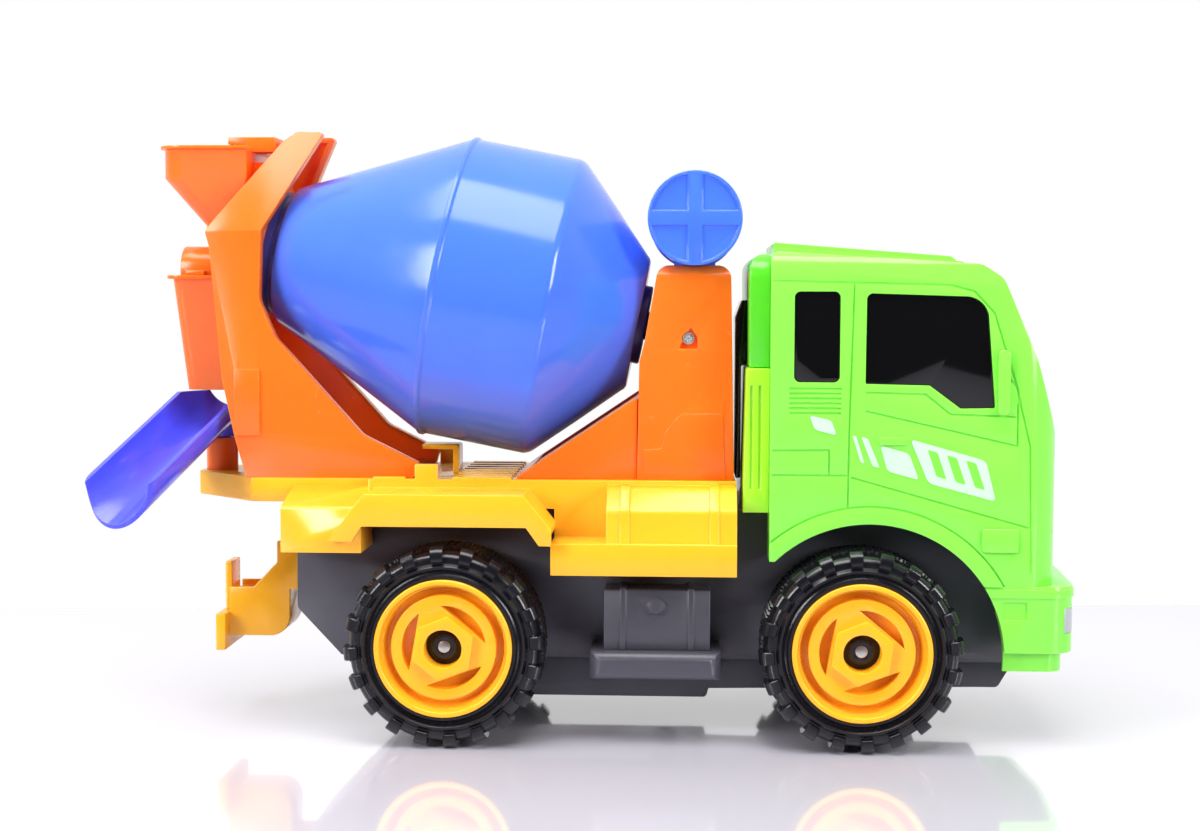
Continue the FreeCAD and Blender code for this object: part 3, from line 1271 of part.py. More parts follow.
def overall_centre(made):
    """The middle of the overall length and width; the chute's tip is the rearmost and rightmost point."""
    chute_box = made["chute"].optimalBoundingBox(False, False)
    front = made["bumper"].optimalBoundingBox(False, False).XMax
    left = made["front_left_tyre"].optimalBoundingBox(False, False).YMax
    return V((chute_box.XMin + front) / 2, (chute_box.YMin + left) / 2, 0)


def main():
    made = build()
    shift = -overall_centre(made)
    os.makedirs("parts", exist_ok=True)
    for name, shape in made.items():
        shape.translate(shift)
        shape.exportStep(f"parts/{name}.step")
    for name, shape in sorted(made.items()):
        bounds = shape.BoundBox
        print(f"{name:20s} solids {len(shape.Solids)} valid {shape.isValid()} volume {shape.Volume / 1000:8.2f}"
              f"  X {bounds.XMin:7.1f} {bounds.XMax:7.1f}  Y {bounds.YMin:6.1f} {bounds.YMax:6.1f}"
              f"  Z {bounds.ZMin:6.1f} {bounds.ZMax:6.1f}")
    pivot = V(POST_X, 0, POST_TOP_Z) + shift
    print("shift", shift, "chute pivot", pivot)
    print("drum axis", drum_point(0) + shift, drum_point(100) + shift)
    print("axles", REAR_AXLE_X + shift.x, FRONT_AXLE_X + shift.x, WHEEL_R)


if __name__ == "__main__":
    main()
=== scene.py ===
# %% [markdown]
# # Toy cement mixer truck
# This lesson dresses a finished set of plastic mouldings so that they look like the real toy. The
# mouldings arrive as a fixed frame: their sizes and places are already right, and nothing here
# moves them. What is left is what the eye judges: softened edges, tyres with tread, glossy
# coloured plastic, and good light.

# %% Load the fixed frame
import bpy
import bmesh
import json
import math
from mathutils import Matrix, Vector


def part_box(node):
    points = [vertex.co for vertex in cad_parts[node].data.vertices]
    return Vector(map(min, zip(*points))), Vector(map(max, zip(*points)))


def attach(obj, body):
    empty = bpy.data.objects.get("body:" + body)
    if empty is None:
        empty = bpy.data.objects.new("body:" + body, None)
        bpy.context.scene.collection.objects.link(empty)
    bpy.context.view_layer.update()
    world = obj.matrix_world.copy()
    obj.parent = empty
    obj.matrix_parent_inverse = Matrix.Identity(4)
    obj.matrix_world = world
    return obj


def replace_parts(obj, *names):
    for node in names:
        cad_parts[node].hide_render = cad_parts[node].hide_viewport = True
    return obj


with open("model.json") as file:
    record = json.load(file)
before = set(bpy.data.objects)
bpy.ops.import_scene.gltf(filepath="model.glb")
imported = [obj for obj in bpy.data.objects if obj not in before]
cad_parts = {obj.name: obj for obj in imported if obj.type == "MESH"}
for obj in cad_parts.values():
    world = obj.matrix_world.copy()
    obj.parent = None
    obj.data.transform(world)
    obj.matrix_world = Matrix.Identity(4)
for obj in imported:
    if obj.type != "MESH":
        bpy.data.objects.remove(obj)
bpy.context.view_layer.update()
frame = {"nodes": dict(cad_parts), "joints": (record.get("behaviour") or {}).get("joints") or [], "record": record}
slot_of = {part["node"]: part["material_slot"] for part in frame["record"]["subparts"]}
body_of = {
    node: body
    for body, nodes in frame["record"]["behaviour"]["bodies"].items()
    for node in nodes
}
joint = {hinge["name"]: hinge for hinge in frame["joints"]}

# %% [markdown]
# ## Landmarks
# The chute stands out to one side and the hook to the back, so the origin of the whole truck
# isn't the middle of its cab. The front axle is a better landmark: its joint says where the
# truck's middle plane is, and how far the layout that the door prints are drawn on is shifted
# along the truck.

# %% Find the landmarks
MM = 0.001
LAYOUT_AXLE_X = 67.5
front_axle_place = Vector(joint["front_axle_spin"]["pos_m"])
shift_x = front_axle_place.x / MM - LAYOUT_AXLE_X
middle_y = front_axle_place.y
print("layout shift", round(shift_x, 3), "mm, middle plane at", round(middle_y / MM, 3), "mm")

# %% [markdown]
# ## A place for the finishes
# Every moulding takes its colour from one of the toy's plastics. The pieces are made first and
# the plastics are mixed later, so each plastic starts as an empty material with the right name.
# Assigning an empty material costs nothing, and filling it later changes every piece that wears
# it. The alternative, passing node trees around, would tie the shapes to the colours for no gain.

# %% Name the plastics
finish = {}
for entry in frame["record"]["materials"]:
    material = bpy.data.materials.new(entry["slot"])
    material.use_nodes = True
    finish[entry["slot"]] = material
print("finishes:", sorted(finish))

# %% [markdown]
# ## Handing over a finished piece
# A bmesh is a workbench: it is quick to shape, but Blender only draws meshes. This helper moves a
# bmesh into a mesh, shades it smooth except where two faces meet at a clear angle, and hangs the
# piece on the body that carries it. Smooth shading with a few sharp edges is how moulded plastic
# reads: broad soft faces and crisp parting lines.

# %% Helper: put a piece on its body
def hand_over(name, bm, body, slot, stands_for=(), sharp=38):
    mesh = bpy.data.meshes.new(name)
    bm.to_mesh(mesh)
    bm.free()
    mesh.shade_smooth()
    mesh.set_sharp_from_angle(angle=math.radians(sharp))
    mesh.materials.append(finish[slot])
    piece = bpy.data.objects.new(name, mesh)
    bpy.context.scene.collection.objects.link(piece)
    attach(piece, body)
    if stands_for:
        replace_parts(piece, *stands_for)
    return piece


print("helper ready: hand_over")

# %% [markdown]
# ## Softening edges
# No moulded edge is a knife edge. A tool leaves a radius of a few tenths of a millimetre, and
# that radius is what catches the light and draws the bright line round a toy. Bevelling the edges
# whose faces meet at more than a set angle gives exactly that. A subdivision surface would also
# round them, but it would pull the flat faces out of shape.

# %% Helper: round the edges of a workbench mesh
def round_edges(bm, width, segments=2, angle=32):
    limit = math.radians(angle)
    edges = [e for e in bm.edges if len(e.link_faces) == 2 and e.calc_face_angle(0) > limit]
    if edges:
        bmesh.ops.bevel(
            bm, geom=edges, offset=width, offset_type="OFFSET", segments=segments, profile=0.5,
            affect="EDGES", clamp_overlap=True, material=-1,
        )


print("helper ready: round_edges")

# %% [markdown]
# ## The moulded shells
# The cab, deck, chassis, frame and hoppers already have their true shape, as loose triangles.
# Each is copied, its doubled corners are merged, and the triangles that lie in one plane are
# dissolved, which leaves clean flat faces. Then the edges get their moulding radius. Modelling
# them again by hand would only copy what is already exact.

# %% Edge radius of each shell, in millimetres
SOFTEN = {
    "cab_shell": 0.2, "bumper": 0.45, "deck": 0.3, "tail_platform": 0.4, "tow_hook": 0.35,
    "chassis_tub": 0.35, "chassis_base": 0.35, "rear_frame_right": 0.4, "rear_frame_left": 0.4,
    "rear_crosswall": 0.4, "upper_hopper": 0.3, "lower_hopper": 0.3, "drum_hood": 0.3,
    "hopper_brackets": 0.3, "tower_right": 0.3, "tower_left": 0.3, "tower_brace": 0.35,
    "side_tank_right": 0.3, "side_tank_left": 0.3, "side_step_right": 0.4,
    "side_step_left": 0.4, "chute": 0.35, "chute_post": 0.35, "cab_back": 0.5,
    "cab_locker": 0.3, "air_intake": 0.4, "grille": 0.2, "windscreen": 0.2,
    "side_glass_right": 0.2, "side_glass_left": 0.2, "mirror_right": 0.4, "mirror_left": 0.4,
    "signal_lamp_right": 0.35, "signal_lamp_left": 0.35, "headlamp_right": 0.3,
    "headlamp_left": 0.3, "front_badge": 0.3, "tower_screw": 0.1, "base_screws": 0.1,
    "front_right_rim": 0.25, "front_left_rim": 0.25, "rear_right_rim": 0.25,
    "rear_left_rim": 0.25, "front_right_hub_cap": 0.2, "front_left_hub_cap": 0.2,
    "rear_right_hub_cap": 0.2, "rear_left_hub_cap": 0.2, "front_axle": 0.25, "rear_axle": 0.25,
}
print("shells to soften:", len(SOFTEN))


# %% Merge, clean and soften the shells
MERGE_GAP, FLAT_ANGLE = 0.002, 0.6


def soften_shell(node, width):
    bm = bmesh.new()
    bm.from_mesh(frame["nodes"][node].data)
    bmesh.ops.remove_doubles(bm, verts=bm.verts, dist=MERGE_GAP * MM)
    bmesh.ops.dissolve_limit(
        bm, angle_limit=math.radians(FLAT_ANGLE), verts=bm.verts, edges=bm.edges,
        delimit={"NORMAL"},
    )
    round_edges(bm, width * MM)
    return hand_over(f"{node}_soft", bm, body_of[node], slot_of[node], [node])


shells = {node: soften_shell(node, width) for node, width in SOFTEN.items()}
print("shells:", len(shells), "faces:", sum(len(s.data.polygons) for s in shells.values()))

# %% [markdown]
# ## Turned pieces
# Tyres, drum shells and the water tank are all round, so each starts as half of its cross-section
# and is spun about its own axis. Spinning a section gives an even ring of faces that shades
# perfectly smooth, which a tube with added loops seldom does. The section is drawn with its axis
# on Z, and the whole piece is tilted into place at the end.

# %% Helper: spin a closed section
def spun(section, steps=160):
    bm = bmesh.new()
    ring = [bm.verts.new((radius * MM, 0, height * MM)) for radius, height in section]
    edges = [bm.edges.new((a, b)) for a, b in zip(ring, ring[1:] + ring[:1])]
    bmesh.ops.spin(
        bm, geom=ring + edges, cent=(0, 0, 0), axis=(0, 0, 1), dvec=(0, 0, 0),
        angle=math.tau, steps=steps, use_merge=True,
    )
    bmesh.ops.remove_doubles(bm, verts=bm.verts, dist=0.0005 * MM)
    bmesh.ops.recalc_face_normals(bm, faces=bm.faces)
    return bm


print("helper ready: spun")

# %% [markdown]
# ## The tyres
# The toy's tyres are soft black plastic with twenty blocks round the outer shoulder, a raised
# ring on the sidewall and fine rows of studs across the tread. The carcass is spun; one block is
# a short spin of its own section, bevelled and then repeated round the wheel; one stud is a
# four-sided stump repeated the same way. Repeating with spin's duplicate option keeps the pitch
# exact. The same tyre is used four times.

# %% Measure the tyre, lying down with its outer face at zero height
TYRE_R, CROWN_R, TYRE_W, LIP_R, BARREL_R = 33.0, 31.4, 28.0, 22.5, 20.0
BLOCKS_ROUND, BLOCK_ARC, BLOCK_EDGE = 20, 8.0, 0.25
STUDS_ROUND, STUD_ROWS, FIRST_ROW, ROW_PITCH = 72, 9, 10.4, 1.8
STUD_FOOT, STUD_TOP, STUD_TALL, STUD_MIDDLE = 1.05, 0.5, 0.9, 0.3
HALF_SECTION = [
    (BARREL_R, -3.4), (LIP_R, -3.4), (LIP_R, -1.3), (22.9, -0.9), (23.6, -0.9), (24.1, -1.6),
    (24.9, -1.9), (25.4, -1.2), (25.9, -0.7), (26.6, -0.7), (27.1, -1.3), (27.5, -1.9),
    (28.8, -1.9), (29.5, -2.1), (30.4, -2.9), (31.0, -3.9), (31.3, -5.2), (CROWN_R, -7.0),
    (CROWN_R, -10.0),
]
BLOCK_SECTION = [
    (28.0, -3.2), (28.0, -0.9), (28.4, -0.5), (30.6, -0.25), (31.8, -0.9), (32.7, -2.2),
    (TYRE_R, -3.8), (TYRE_R, -8.6), (31.0, -8.9),
]
print("tyre radius", TYRE_R, "mm,", BLOCKS_ROUND, "blocks,", STUD_ROWS * STUDS_ROUND, "studs")


# %% Helper: repeat a shape round the wheel
def repeat_round(bm, geom, count, start=0.0):
    step = math.tau / count
    if start:
        corners = [g for g in geom if isinstance(g, bmesh.types.BMVert)]
        bmesh.ops.rotate(bm, verts=corners, cent=(0, 0, 0), matrix=Matrix.Rotation(start, 3, "Z"))
    bmesh.ops.spin(
        bm, geom=geom, cent=(0, 0, 0), axis=(0, 0, 1), dvec=(0, 0, 0), angle=step * (count - 1),
        steps=count - 1, use_duplicate=True,
    )


print("helper ready: repeat_round")


# %% Helper: blocks round the outer shoulder
def shoulder_blocks(bm):
    block = bmesh.new()
    ring = [block.verts.new((r * MM, 0, h * MM)) for r, h in BLOCK_SECTION]
    face = block.faces.new(ring)
    bmesh.ops.spin(
        block, geom=[face] + face.edges[:] + ring, cent=(0, 0, 0), axis=(0, 0, 1),
        dvec=(0, 0, 0), angle=math.radians(BLOCK_ARC), steps=2,
    )
    bmesh.ops.holes_fill(block, edges=[e for e in block.edges if e.is_boundary])
    bmesh.ops.recalc_face_normals(block, faces=block.faces)
    round_edges(block, BLOCK_EDGE * MM, 1, 40)
    mesh = bpy.data.meshes.new("block")
    block.to_mesh(mesh)
    block.free()
    before = set(bm.verts)
    bm.from_mesh(mesh)
    bpy.data.meshes.remove(mesh)
    new_verts = [v for v in bm.verts if v not in before]
    faces = {f for v in new_verts for f in v.link_faces}
    edges = {e for v in new_verts for e in v.link_edges}
    repeat_round(bm, new_verts + list(edges) + list(faces), BLOCKS_ROUND)


print("helper ready: shoulder_blocks")


# %% Helper: one row of studs round the tread
def tread_studs(bm, height, start):
    stud = bmesh.ops.create_cone(
        bm, cap_ends=True, segments=4, radius1=STUD_FOOT * MM, radius2=STUD_TOP * MM,
        depth=STUD_TALL * MM,
    )["verts"]
    place = Matrix.Translation(((CROWN_R + STUD_MIDDLE) * MM, 0, height * MM))
    outward = Matrix.Rotation(math.pi / 2, 4, "Y")
    bmesh.ops.transform(bm, matrix=place @ outward, verts=stud)
    faces = {f for v in stud for f in v.link_faces}
    edges = {e for v in stud for e in v.link_edges}
    repeat_round(bm, stud + list(edges) + list(faces), STUDS_ROUND, start)


print("helper ready: tread_studs")


# %% Put one tyre together
def tyre_shape():
    mirrored = [(r, -TYRE_W - h) for r, h in reversed(HALF_SECTION)]
    bm = spun(HALF_SECTION + mirrored)
    shoulder_blocks(bm)
    half_pitch = math.tau / (2 * STUDS_ROUND)
    for row in range(STUD_ROWS):
        tread_studs(bm, -FIRST_ROW - ROW_PITCH * row, (row % 2) * half_pitch)
    mesh = bpy.data.meshes.new("tyre_pattern")
    bm.to_mesh(mesh)
    bm.free()
    return mesh


tyre_pattern = tyre_shape()
print("tyre:", len(tyre_pattern.polygons), "faces")

# %% [markdown]
# ## Four wheels from one
# Each tyre is a copy of the pattern, turned so that its outer face looks away from the truck and
# moved to its axle. The axle's place comes from the joint that turns it, so a wheel can't be off
# its own axis. The place goes into the mesh itself and the object stays at the origin, because a
# pattern on object coordinates would otherwise turn.

# %% Place the tyres
for end in ("front", "rear"):
    axle = Vector(joint[f"{end}_axle_spin"]["pos_m"])
    for side_name, side in (("right", -1), ("left", 1)):
        node = f"{end}_{side_name}_tyre"
        low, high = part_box(node)
        face_y = low.y if side < 0 else high.y
        bm = bmesh.new()
        bm.from_mesh(tyre_pattern)
        spot = Matrix.Translation((axle.x, face_y, axle.z))
        face_out = Matrix.Rotation(-side * math.pi / 2, 4, "X")
        bmesh.ops.transform(bm, matrix=spot @ face_out, verts=bm.verts)
        hand_over(f"{node}_treaded", bm, f"{end}_wheels", "tyre_black", [node])
        print(node, "at", tuple(round(v, 4) for v in (axle.x, face_y, axle.z)))

# %% [markdown]
# ## The mixing drum
# The drum is two blown shells glued at a raised seam: a long rear cone, and a barrel with a short
# front cone. Both are spun from their sections. The corners where cone meets barrel are drawn
# with a few extra points, so they turn softly over two or three millimetres as thin moulded
# plastic does, while the seam keeps its crisp step.

# %% Helper: tilt a turned piece onto the drum's axis
spin_axis = Vector(joint["drum_spin"]["axis"])
drum_tilt = Vector((0, 0, 1)).rotation_difference(spin_axis).to_matrix().to_4x4()
drum_seat = Matrix.Translation(joint["drum_spin"]["pos_m"]) @ drum_tilt


def seat_on_drum(bm):
    bmesh.ops.transform(bm, matrix=drum_seat, verts=bm.verts)
    return bm


print("drum axis", tuple(round(v, 4) for v in spin_axis))

# %% Draw the drum's two sections
CONE_L, BARREL_L, NOSE_L, DRUM_R, SEAM_R = 57.9, 38.7, 29.4, 52.3, 52.9
rear_section = [
    (17.0, 0.0), (22.2, 0.0), (23.1, 0.25), (23.8, 0.9), (24.6, 2.2), (31.0, 15.1),
    (42.0, 37.3), (51.9, CONE_L - 0.7), (52.15, CONE_L), (50.5, CONE_L), (40.4, 37.3),
    (29.4, 15.6), (22.6, 2.0), (17.0, 1.8),
]
barrel = CONE_L + BARREL_L
nose = barrel + NOSE_L
front_section = [
    (50.5, CONE_L), (52.6, CONE_L), (SEAM_R, CONE_L + 0.3), (SEAM_R, CONE_L + 1.3),
    (52.6, CONE_L + 1.7), (DRUM_R, CONE_L + 2.2), (DRUM_R, CONE_L + 14),
    (DRUM_R, barrel - 1.8), (52.15, barrel - 0.8),
    (51.7, barrel + 0.3), (51.0, barrel + 1.4), (37.6, barrel + 14.8), (24.2, nose - 1.6),
    (23.3, nose - 0.6), (22.2, nose), (14.0, nose), (14.0, nose - 1.8), (22.0, nose - 2.0),
    (50.3, barrel - 0.8), (50.5, CONE_L + 10),
]
print("drum length", round(nose, 1), "mm")

# %% Spin the drum's two shells
rear_cone = seat_on_drum(spun(rear_section, 192))
rear_shell = hand_over("drum_rear_cone", rear_cone, "drum", "drum_blue", ["drum_rear_shell"], 30)
drum_barrel = seat_on_drum(spun(front_section, 192))
front_shell = hand_over("drum_barrel", drum_barrel, "drum", "drum_blue", [], 30)
print("drum:", len(rear_shell.data.polygons) + len(front_shell.data.polygons), "faces")

# %% [markdown]
# ## The drum's front disc, collar and hub
# The barrel's section stops at a radius of fourteen millimetres, where the closed nose is. A flat
# disc closes it, the hub turns in front of it, and the collar turns in the rear wall; both wear the
# drum's blue darkened to navy, a painted shade for the gaps they sit in.
# They are small, but they are seen in the gaps between the blue drum and the orange frame, so
# they get the same care.

# %% Close the nose
cap_section = [(0.0, nose - 1.8), (14.2, nose - 1.8), (14.2, nose - 0.05), (0.0, nose - 0.05)]
bm = seat_on_drum(spun(cap_section, 96))
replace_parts(hand_over("drum_nose_disc", bm, "drum", "drum_blue"), "drum_front_shell")
print("nose closed", round(nose, 1), "mm from the drum's mouth")

# %% Spin the collar and the hub
COLLAR_R = 21.5
collar_section = [
    (17.0, -13.0), (20.9, -13.0), (21.35, -12.8), (COLLAR_R, -12.3), (COLLAR_R, -2.4),
    (20.9, -2.0), (20.9, -1.4), (COLLAR_R, -1.0), (COLLAR_R, 0.0), (17.0, 0.0),
]
collar_ring = seat_on_drum(spun(collar_section, 128))
# collar_blue on the collar and the hub is the drum's blue darkened to navy: painted shade.
hand_over("drum_collar_ring", collar_ring, "drum", "collar_blue", ["drum_collar"])
hub_section = [
    (0.0, nose), (13.8, nose), (13.8, nose + 2.1), (13.6, nose + 2.45), (13.2, nose + 2.6),
    (10.4, nose + 2.6), (10.0, nose + 2.2), (9.0, nose + 2.2), (8.6, nose + 2.6),
    (5.0, nose + 2.6), (5.0, nose + 15.0), (4.7, nose + 15.5), (4.2, nose + 15.6),
    (0.0, nose + 15.6),
]
hub = seat_on_drum(spun(hub_section, 96))
hand_over("drum_hub_turned", hub, "drum", "collar_blue", ["drum_hub"])
print("collar radius", COLLAR_R, "mm")

# %% [markdown]
# ## The water tank
# A blue cylinder lies across the top of the tower, closed by a cap at each end. A cap has a
# raised rim and a raised cross that leaves four sunk quarters with softly rounded corners. The
# drum of the tank is spun; the caps keep their exact shape and only need a wider edge radius,
# because these edges are soft enough to catch a broad highlight.

# %% Spin the tank
TANK_R, TANK_EDGE, SEAM_HALF, SEAM_PROUD = 15.2, 0.3, 0.5, 0.15
SADDLE = (14, 36, 8)
tank_low, tank_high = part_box("water_tank")
cap_low, cap_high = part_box("tank_cap_right")
tank_centre = (cap_low + cap_high) / 2
half_length = (tank_high.y - tank_low.y) / 2 / MM
tank_section = [
    (0.0, -half_length), (TANK_R - TANK_EDGE, -half_length), (TANK_R, -half_length + TANK_EDGE),
    (TANK_R, -SEAM_HALF), (TANK_R + SEAM_PROUD, -0.35), (TANK_R + SEAM_PROUD, 0.35),
    (TANK_R, SEAM_HALF), (TANK_R, half_length - TANK_EDGE), (TANK_R - TANK_EDGE, half_length),
    (0.0, half_length),
]
bm = spun(tank_section, 128)
spot = Matrix.Translation((tank_centre.x, middle_y, tank_centre.z))
bmesh.ops.transform(bm, matrix=spot @ Matrix.Rotation(math.pi / 2, 4, "X"), verts=bm.verts)
print("water tank radius", TANK_R, "mm, half length", round(half_length, 2), "mm")

# %% Add the saddle it rests on, and soften the caps
saddle = bmesh.ops.create_cube(bm, size=1.0)["verts"]
saddle_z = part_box("tower_right")[1].z + SADDLE[2] / 2 * MM
bmesh.ops.scale(bm, vec=tuple(side * MM for side in SADDLE), verts=saddle)
bmesh.ops.translate(bm, vec=(tank_centre.x, middle_y, saddle_z), verts=saddle)
hand_over("water_tank_turned", bm, "truck", "drum_blue", ["water_tank"])
for side_name in ("right", "left"):
    soften_shell(f"tank_cap_{side_name}", 0.6)
print("saddle top", round((saddle_z + SADDLE[2] / 2 * MM) / MM, 2), "mm above the table")

# %% [markdown]
# ## The floor
# The toy stands on a pale, polished table whose far edge shows behind it. One large quad is
# enough: it is flat, and its polish comes from the finish.

# %% Lay the table
TABLE_HALF_LENGTH, TABLE_HALF_DEPTH, TABLE_BEHIND, TABLE_TURN = 2.6, 0.43, 0.216, 5.6
bm = bmesh.new()
bmesh.ops.create_grid(bm, x_segments=1, y_segments=1, size=1.0)
bmesh.ops.scale(bm, vec=(TABLE_HALF_LENGTH, TABLE_HALF_DEPTH, 1), verts=bm.verts)
table_y = middle_y - TABLE_HALF_DEPTH + TABLE_BEHIND
bmesh.ops.translate(bm, vec=(0, table_y, 0), verts=bm.verts)
askew = Matrix.Rotation(math.radians(TABLE_TURN), 3, "Z")
bmesh.ops.rotate(bm, verts=bm.verts, cent=(0, middle_y, 0), matrix=askew)
mesh = bpy.data.meshes.new("table")
bm.to_mesh(mesh)
bm.free()
table = bpy.data.objects.new("table", mesh)
bpy.context.scene.collection.objects.link(table)
table_finish = bpy.data.materials.new("table_finish")
table_finish.use_nodes = True
mesh.materials.append(table_finish)
print("table laid,", TABLE_BEHIND, "m of it behind the truck's middle")

# %% [markdown]
# ## A node group for moulded plastic
# All the toy's plastics share one trait: the tool leaves a very fine orange peel, the colour is
# not perfectly even where the melt flowed, and handling leaves faint smudges in the gloss. A node
# group is built once with named sockets and then placed in every plastic with its own values. The
# other way, copying the nodes into each material, makes a change in one of them easy to forget in
# the rest.

# %% Helpers: nodes, links and a new group
def node_maker(tree):
    def make(kind, **settings):
        node = tree.nodes.new(kind)
        for key, value in settings.items():
            if key in node.bl_rna.properties:
                setattr(node, key, value)
            else:
                node.inputs[key.replace("_", " ")].default_value = value
        return node
    return make


def new_group(name, inputs, outputs):
    group = bpy.data.node_groups.new(name, "ShaderNodeTree")
    for label, kind, value in inputs:
        socket = group.interface.new_socket(name=label, in_out="INPUT", socket_type=kind)
        if value is not None:
            socket.default_value = value
    for label, kind in outputs:
        group.interface.new_socket(name=label, in_out="OUTPUT", socket_type=kind)
    make = node_maker(group)
    return group, make, make("NodeGroupInput"), make("NodeGroupOutput")


FLOAT, COLOUR = "NodeSocketFloat", "NodeSocketColor"
print("helpers ready: node_maker, new_group")

# %% Open the moulded skin group
skin, make, given, out = new_group(
    "moulded skin",
    [
        ("Colour", COLOUR, (0.5, 0.5, 0.5, 1)), ("Deep Colour", COLOUR, (0.4, 0.4, 0.4, 1)),
        ("Flow", FLOAT, 0.25), ("Gloss Roughness", FLOAT, 0.2), ("Smudge", FLOAT, 0.08),
        ("Grain Scale", FLOAT, 900.0), ("Grain Height", FLOAT, 0.2),
    ],
    [("Colour", COLOUR), ("Roughness", FLOAT), ("Height", FLOAT)],
)
link = skin.links.new
place = make("ShaderNodeTexCoord")
print("group:", skin.name, "opened with", len(skin.interface.items_tree), "sockets")

# %% Colour of the skin: uneven where the melt flowed
flow = make("ShaderNodeTexNoise", Scale=22.0, Detail=3.0, Roughness=0.55, Distortion=0.6)
link(place.outputs["Object"], flow.inputs["Vector"])
flow_range = make("ShaderNodeMapRange")
flow_range.inputs["From Min"].default_value = 0.35
flow_range.inputs["From Max"].default_value = 0.7
link(flow.outputs["Fac"], flow_range.inputs["Value"])
flow_amount = make("ShaderNodeMath", operation="MULTIPLY")
link(flow_range.outputs["Result"], flow_amount.inputs[0])
link(given.outputs["Flow"], flow_amount.inputs[1])
tint = make("ShaderNodeMix", data_type="RGBA")
link(flow_amount.outputs[0], tint.inputs[0])
link(given.outputs["Colour"], tint.inputs[6])
link(given.outputs["Deep Colour"], tint.inputs[7])
link(tint.outputs[2], out.inputs["Colour"])
print("skin colour wired")

# %% Gloss of the skin: faint smudges from handling
smudge = make("ShaderNodeTexNoise", Scale=60.0, Detail=5.0, Roughness=0.6, Distortion=1.2)
link(place.outputs["Object"], smudge.inputs["Vector"])
smudge_range = make("ShaderNodeMapRange")
smudge_range.inputs["From Min"].default_value = 0.45
smudge_range.inputs["From Max"].default_value = 0.75
link(smudge.outputs["Fac"], smudge_range.inputs["Value"])
smudge_amount = make("ShaderNodeMath", operation="MULTIPLY_ADD")
link(smudge_range.outputs["Result"], smudge_amount.inputs[0])
link(given.outputs["Smudge"], smudge_amount.inputs[1])
link(given.outputs["Gloss Roughness"], smudge_amount.inputs[2])
link(smudge_amount.outputs[0], out.inputs["Roughness"])
print("skin gloss wired")

# %% Height of the skin: fine orange peel and shallow sink marks
grain = make("ShaderNodeTexNoise", Detail=2.0, Roughness=0.5)
link(place.outputs["Object"], grain.inputs["Vector"])
link(given.outputs["Grain Scale"], grain.inputs["Scale"])
sink_marks = make("ShaderNodeTexNoise", Scale=45.0, Detail=1.0)
link(place.outputs["Object"], sink_marks.inputs["Vector"])
grain_height = make("ShaderNodeMath", operation="MULTIPLY")
link(grain.outputs["Fac"], grain_height.inputs[0])
link(given.outputs["Grain Height"], grain_height.inputs[1])
SINK_HEIGHT = 1.6
height = make("ShaderNodeMath", operation="MULTIPLY_ADD")
height.inputs[1].default_value = SINK_HEIGHT
link(sink_marks.outputs["Fac"], height.inputs[0])
link(grain_height.outputs[0], height.inputs[2])
link(height.outputs[0], out.inputs["Height"])
print("group:", skin.name, "with", len(skin.nodes), "nodes")

# %% [markdown]
# ## A node group for highlit, dulled edges
# Corners of the toy are painted a little brighter than its faces, a painted highlight where a
# rounded edge would catch the light, and their gloss is made a little duller, as rubbing makes it.
# The Bevel node gives the normal that the surface would have if its corners were wider; where
# that differs from the true normal there is a corner. Noise breaks the line up, because an even
# pale outline looks like a drawing. Pointiness would be cheaper, but it depends on how finely a
# face is divided, and these shells have large faces.

# %% Find the corners
CORNER_R = 0.0005
corner_wear_and_highlight, make, given, out = new_group(
    "corner wear and painted highlight", [("Amount", FLOAT, 0.3), ("Patch Scale", FLOAT, 130.0)], [("Mask", FLOAT)],
)
link = corner_wear_and_highlight.links.new
true_shape = make("ShaderNodeNewGeometry")
rounder = make("ShaderNodeBevel", samples=4)
rounder.inputs["Radius"].default_value = CORNER_R
alike = make("ShaderNodeVectorMath", operation="DOT_PRODUCT")
link(rounder.outputs["Normal"], alike.inputs[0])
link(true_shape.outputs["Normal"], alike.inputs[1])
corner = make("ShaderNodeMapRange")
corner.inputs["From Min"].default_value = 0.985
corner.inputs["From Max"].default_value = 0.9
link(alike.outputs["Value"], corner.inputs["Value"])
print("corners found within", CORNER_R / MM, "mm of an edge")

# %% Break the painted highlight and dulling of the corners into patches
place = make("ShaderNodeTexCoord")
patches = make("ShaderNodeTexNoise", Detail=4.0, Roughness=0.65)
link(place.outputs["Object"], patches.inputs["Vector"])
link(given.outputs["Patch Scale"], patches.inputs["Scale"])
patch_range = make("ShaderNodeMapRange")
patch_range.inputs["From Min"].default_value = 0.38
patch_range.inputs["From Max"].default_value = 0.62
link(patches.outputs["Fac"], patch_range.inputs["Value"])
both = make("ShaderNodeMath", operation="MULTIPLY")
link(corner.outputs["Result"], both.inputs[0])
link(patch_range.outputs["Result"], both.inputs[1])
amount = make("ShaderNodeMath", operation="MULTIPLY")
link(both.outputs[0], amount.inputs[0])
link(given.outputs["Amount"], amount.inputs[1])
link(amount.outputs[0], out.inputs["Mask"])
print("group:", corner_wear_and_highlight.name, "with", len(corner_wear_and_highlight.nodes), "nodes")

# %% [markdown]
# ## Mixing the plastics
# A plastic is one Principled shader: the skin group gives it colour, roughness and height, the
# corner group lightens its corners with a painted highlight and dulls their gloss, and a Bump node
# turns height into a normal. Glossy toy plastic also lets a little light in and spreads it, which
# softens its shadows, so each bright colour gets a small amount of subsurface. Values that are the
# same all over are set on the shader's own sockets, where every renderer can read them.

# %% Traits that every plastic shares
WORN_DULLNESS, RELIEF_DEPTH, PLASTIC_IOR = 0.25, 0.0004, 1.5
GLOW_COLOURS, GLOW_DEPTH = (1.0, 0.6, 0.3), 0.003
print("light spreads", GLOW_DEPTH / MM, "mm into a bright plastic")
